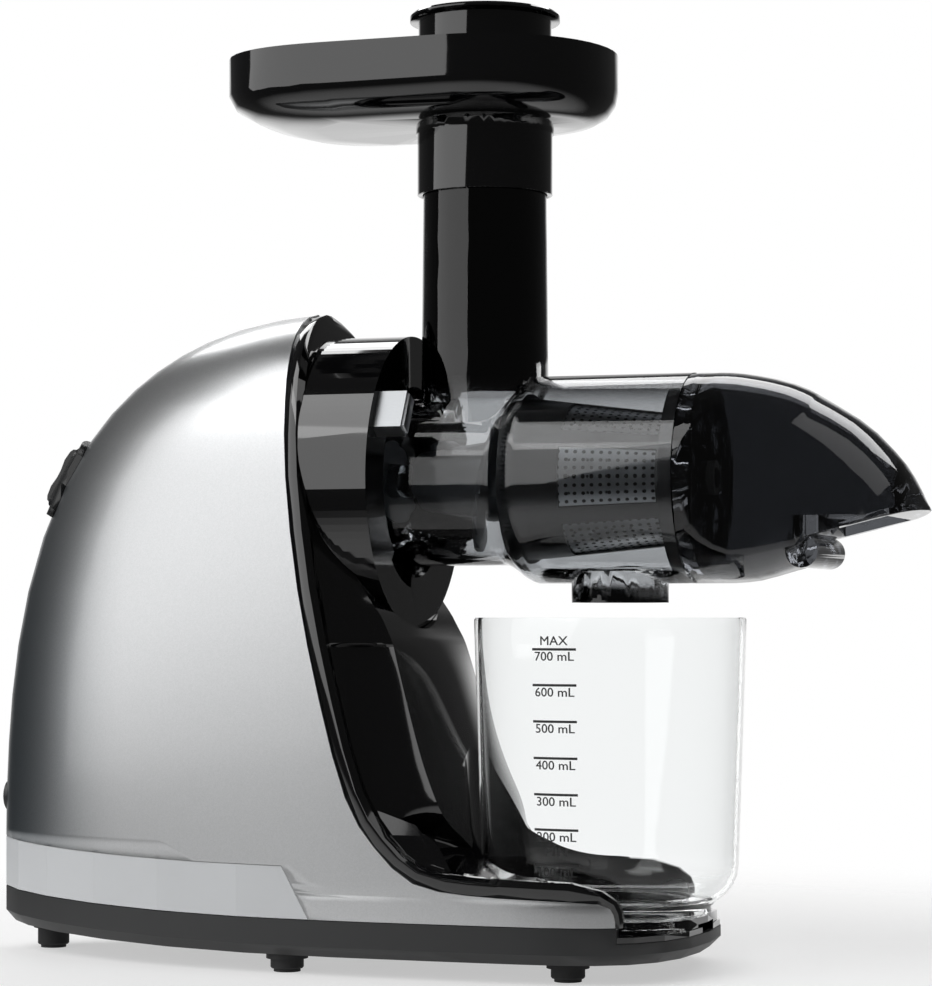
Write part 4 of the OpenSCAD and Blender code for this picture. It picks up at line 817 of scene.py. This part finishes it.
@dataclass
class CupScale:
    """The printed scale of the cup, bent round its wall.

    Attributes:
        marks: label, whether it stands above its line, and the line's height in millimetres.
        centre_deg: where the scale stands round the cup.
        line_mm: length of a line.
        line_high_mm: height of a line.
        text_mm: height of the capitals.
        type_size: the type's size over that height.
        widen: how much wider than plain the letters are.
        bold_mm: how much the strokes are thickened.
        layer_mm: how far each thickening layer stands off the one before.
        foot: radius and height of the wall's lower end.
        rim: radius and height of the wall's upper end.
        ink_mm: how far the print stands off the wall.
        above_mm, below_mm: from a line to the middle of the label above or below it.
    """

    marks: tuple[tuple[str, bool, float], ...] = (
        ("MAX", True, 119.6),
        ("700 mL", False, 119.6),
        ("600 mL", False, 106.7),
        ("500 mL", False, 93.6),
        ("400 mL", False, 80.4),
        ("300 mL", False, 67.3),
        ("200 mL", False, 54.6),
        ("MIN", True, 43.6),
        ("100 mL", False, 41.9),
    )
    centre_deg: float = -98.0
    line_mm: float = 17.4
    line_high_mm: float = 0.9
    text_mm: float = 3.6
    type_size: float = 1.28
    widen: float = 1.12
    bold_mm: float = 0.14
    layer_mm: float = 0.02
    foot: tuple[float, float] = (48.0, 39.5)
    rim: tuple[float, float] = (50.9, 130.4)
    ink_mm: float = 0.12
    above_mm: float = 2.9
    below_mm: float = 2.7

    def wall_r(self, z: float) -> float:
        """Outer radius of the cup at a height, in millimetres."""
        (low_r, low_z), (high_r, high_z) = self.foot, self.rim
        return low_r + (high_r - low_r) * max(0.0, z - low_z) / (high_z - low_z)

    def wrap(self, piece: bpy.types.Object, z: float) -> None:
        """Bends a flat piece, drawn in millimetres about its own origin, onto the wall at height z."""
        for v in piece.data.vertices:
            height = z + v.co.y
            r = self.wall_r(height) + self.ink_mm + v.co.z
            a = math.radians(self.centre_deg) + v.co.x / self.wall_r(z)
            v.co = Vector((CUP_X + r * math.cos(a), r * math.sin(a), height)) * MM

    def label(self, text: str, index: int) -> bpy.types.Object:
        """Makes a flat label as a mesh, centred on its own origin."""
        curve = bpy.data.curves.new(f"mark_{index}", "FONT")
        curve.body = text
        curve.size = self.text_mm * self.type_size
        curve.align_x, curve.align_y = "CENTER", "CENTER"
        curve.resolution_u = 3
        temp = bpy.data.objects.new(f"mark_{index}", curve)
        bpy.context.scene.collection.objects.link(temp)
        bpy.context.view_layer.update()
        bm = bmesh.new()
        bm.from_mesh(temp.to_mesh())
        bpy.data.objects.remove(temp)
        bmesh.ops.scale(bm, vec=(self.widen, 1.0, 1.0), verts=bm.verts)
        once = list(bm.faces)
        bold, layer = self.bold_mm, self.layer_mm
        for shift in ((bold, 0.0, layer), (bold / 2, bold / 2, 2 * layer)):
            copy = bmesh.ops.duplicate(bm, geom=once)
            moved = [part for part in copy["geom"] if isinstance(part, bmesh.types.BMVert)]
            bmesh.ops.translate(bm, vec=shift, verts=moved)
        return piece_of(bm, f"scale_text_{index}")

    def line(self, index: int) -> bpy.types.Object:
        """Makes a flat line as a mesh, centred on its own origin."""
        bm = bmesh.new()
        bmesh.ops.create_grid(bm, x_segments=24, y_segments=1, size=0.5)
        bmesh.ops.scale(bm, vec=(self.line_mm, self.line_high_mm, 1.0), verts=bm.verts)
        return piece_of(bm, f"scale_line_{index}")

    def build(self) -> None:
        """Builds the labels and lines."""
        for index, (text, above, height) in enumerate(self.marks):
            piece = self.label(text, index)
            self.wrap(piece, height + (self.above_mm if above else -self.below_mm))
            made = [piece]
            if not above:
                rule = self.line(index)
                self.wrap(rule, height)
                made.append(rule)
            for part in made:
                dress(part, INK)
                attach(part, Body.CUP.value)
        log.info("built the cup's scale")


@dataclass
class Studio:
    """Pale floor, soft lamps and the camera.

    Attributes:
        look_deg: the camera's azimuth.
        back_mm: distance from the cup's axis along the view.
        side_mm: the view's centre beside the cup's axis.
        height_mm: the camera's height.
        focal_mm: the lens.
        shift_y: upward shift of the frame.
        room_light: strength of the even light.
        field_deg: where the white field behind the object starts to fade and where it ends.
        floor_white: how far the floor is lifted to plain white.
        floor_r: the floor's radius.
        floor_fade: radii between which the floor fades out.
        lamps: name, place, width and height in metres, and power in watts.
        lamp_aim: the point that the lamps face, in metres.
    """

    look_deg: float = 18.5
    back_mm: float = 1122.0
    side_mm: float = 53.86
    height_mm: float = 131.0
    focal_mm: float = 109.53
    shift_y: float = 0.1264
    room_light: float = 0.06
    field_deg: tuple[float, float] = (8.0, 33.0)
    floor_white: float = 0.5
    floor_r: float = 0.9
    floor_fade: tuple[float, float] = (0.17, 0.5)
    lamps: tuple[tuple[str, tuple[float, float, float], tuple[float, float], float], ...] = (
        ("main", (-0.87, -0.86, 0.55), (1.6, 1.1), 10.0),
        ("high", (-0.62, -0.72, 1.2), (1.2, 0.7), 8.5),
        ("rear", (-0.04, 0.8, 1.05), (1.8, 0.42), 9.1),
        ("front", (0.8, 0.0, 1.2), (0.7, 0.7), 1.6),
    )
    lamp_aim: tuple[float, float, float] = (0.0, 0.0, 0.17)

    def camera(self) -> None:
        """Places the camera level with the cup's rim."""
        a = math.radians(self.look_deg)
        right = Vector((math.cos(a), math.sin(a), 0.0))
        place = Vector((CUP_X, 0.0, self.height_mm)) - self.ahead() * self.back_mm - right * self.side_mm
        data = bpy.data.cameras.new("camera")
        data.lens = self.focal_mm
        data.sensor_width = 36.0
        data.shift_y = self.shift_y
        data.clip_start = 0.05
        lens = bpy.data.objects.new("camera", data)
        lens.location = place * MM
        lens.rotation_euler = (math.radians(90), 0.0, a)
        bpy.context.scene.collection.objects.link(lens)
        bpy.context.scene.camera = lens

    def lamp(self, name: str, place: Sequence[float], size: tuple[float, float], power: float) -> None:
        """Hangs a soft rectangular lamp that faces the middle of the object.

        Args:
            name: the lamp's name.
            place: its place in metres.
            size: its width and height in metres.
            power: its power in watts.
        """
        data = bpy.data.lights.new(name, "AREA")
        data.shape = "RECTANGLE"
        data.size, data.size_y = size
        data.energy = power
        lamp = bpy.data.objects.new(name, data)
        lamp.location = place
        aim = Vector(self.lamp_aim) - Vector(place)
        lamp.rotation_euler = aim.to_track_quat("-Z", "Y").to_euler()
        bpy.context.scene.collection.objects.link(lamp)

    def ahead(self) -> Vector:
        """Returns the direction in which the camera looks."""
        a = math.radians(self.look_deg)
        return Vector((-math.sin(a), math.cos(a), 0.0))

    def background_rays(self, tree: bpy.types.NodeTree) -> bpy.types.Node:
        """Returns a node that is 1 for what the camera sees, directly, mirrored or through clear pieces."""
        ray = shader(tree, "ShaderNodeLightPath")
        clear = shader(
            tree,
            "ShaderNodeMath",
            {"operation": "MAXIMUM"},
            _0=ray.outputs["Is Camera Ray"],
            _1=ray.outputs["Is Transmission Ray"],
        )
        return shader(tree, "ShaderNodeMath", {"operation": "MAXIMUM"}, _0=clear, _1=ray.outputs["Is Glossy Ray"])

    def world(self) -> None:
        """Fills the room with a low even light and shows white behind the object.

        The camera sees white all round, straight or through clear pieces. A mirrored ray sees a white field
        that lies straight ahead of the camera, and sees the same field when it goes on through a clear piece.
        """
        world = bpy.data.worlds.new("studio")
        bpy.context.scene.world = world
        world.use_nodes = True
        tree = world.node_tree
        tree.nodes.clear()
        way = shader(tree, "ShaderNodeTexCoord").outputs["Generated"]
        toward = shader(tree, "ShaderNodeVectorMath", {"operation": "DOT_PRODUCT", 1: self.ahead()}, _0=way)
        field = shader(
            tree,
            "ShaderNodeMapRange",
            {
                "interpolation_type": "SMOOTHSTEP",
                "From Min": math.cos(math.radians(self.field_deg[1])),
                "From Max": math.cos(math.radians(self.field_deg[0])),
            },
            Value=toward.outputs["Value"],
        )
        ray = shader(tree, "ShaderNodeLightPath")
        unmirrored = shader(
            tree, "ShaderNodeMath", {"operation": "LESS_THAN", 1: 0.5}, _0=ray.outputs["Glossy Depth"]
        )
        through = shader(
            tree,
            "ShaderNodeMath",
            {"operation": "MULTIPLY"},
            _0=ray.outputs["Is Transmission Ray"],
            _1=unmirrored,
        )
        clear = shader(
            tree, "ShaderNodeMath", {"operation": "MAXIMUM"}, _0=ray.outputs["Is Camera Ray"], _1=through
        )
        shown = shader(
            tree,
            "ShaderNodeMath",
            {"operation": "MAXIMUM"},
            _0=ray.outputs["Is Glossy Ray"],
            _1=ray.outputs["Is Transmission Ray"],
        )
        mirrored = shader(tree, "ShaderNodeMath", {"operation": "MULTIPLY"}, _0=shown, _1=field)
        white = shader(tree, "ShaderNodeMath", {"operation": "MAXIMUM"}, _0=clear, _1=mirrored)
        strength = shader(tree, "ShaderNodeMapRange", {"To Min": self.room_light, "To Max": 1.0}, Value=white)
        light = shader(tree, "ShaderNodeBackground", {"Color": (1.0, 1.0, 1.0, 1.0)}, Strength=strength)
        shader(tree, "ShaderNodeOutputWorld", None, Surface=light)

    def paper(self, tree: bpy.types.NodeTree, place: bpy.types.NodeSocket) -> bpy.types.Node:
        """Returns the shader of matt white background paper."""
        grain = shader(tree, "ShaderNodeTexNoise", {"Scale": 400.0}, Vector=place)
        bump = shader(tree, "ShaderNodeBump", {"Strength": 0.02, "Distance": 0.0002}, Height=grain)
        return shader(
            tree,
            "ShaderNodeBsdfPrincipled",
            {"Base Color": (0.93, 0.93, 0.93, 1.0), "Roughness": 0.6},
            Normal=bump,
        )

    def stage_piece(self, name: str, bm: bmesh.types.BMesh) -> tuple[bpy.types.NodeTree, bpy.types.NodeSocket]:
        """Adds a piece of the studio and returns its empty material and the place socket.

        Args:
            name: the piece's name.
            bm: its shape, which is freed.
        """
        piece = piece_of(bm, name)
        paint = bpy.data.materials.new(f"{name}_paper")
        paint.use_nodes = True
        paint.node_tree.nodes.clear()
        piece.data.materials.append(paint)
        return paint.node_tree, shader(paint.node_tree, "ShaderNodeTexCoord").outputs["Object"]

    def floor(self) -> None:
        """Lays a round white floor that fades out at its edge."""
        bm = bmesh.new()
        bmesh.ops.create_circle(bm, cap_ends=True, segments=96, radius=self.floor_r)
        tree, place = self.stage_piece("floor", bm)
        reach = shader(tree, "ShaderNodeVectorMath", {"operation": "LENGTH"}, _0=place)
        fade = shader(
            tree,
            "ShaderNodeMapRange",
            {"interpolation_type": "SMOOTHSTEP", "From Min": self.floor_fade[0], "From Max": self.floor_fade[1]},
            Value=reach.outputs["Value"],
        )
        share = shader(
            tree, "ShaderNodeMath", {"operation": "MULTIPLY", 1: self.floor_white}, _0=self.background_rays(tree)
        )
        white = shader(tree, "ShaderNodeEmission", {"Color": (1.0, 1.0, 1.0, 1.0), "Strength": 1.0})
        sheet = shader(tree, "ShaderNodeMixShader", None, Fac=share, _1=self.paper(tree, place), _2=white)
        gone = shader(tree, "ShaderNodeBsdfTransparent")
        mix = shader(tree, "ShaderNodeMixShader", None, Fac=fade, _1=sheet, _2=gone)
        shader(tree, "ShaderNodeOutputMaterial", None, Surface=mix)

    def build(self) -> None:
        """Sets up the whole studio."""
        self.camera()
        self.world()
        self.floor()
        for name, place, size, power in self.lamps:
            self.lamp(name, place, size, power)
        log.info("studio ready")


def main() -> None:
    """Builds the juicer's looks piece by piece, then the studio."""
    logging.basicConfig(level=logging.INFO, format="%(name)s: %(message)s")
    bpy.context.scene.view_settings.view_transform = "Standard"
    Studio().build()
    PlainNodes().build()
    SmoothNodes().build()
    FrontWall().build()
    CupScale().build()


if __name__ == "__main__":
    main()
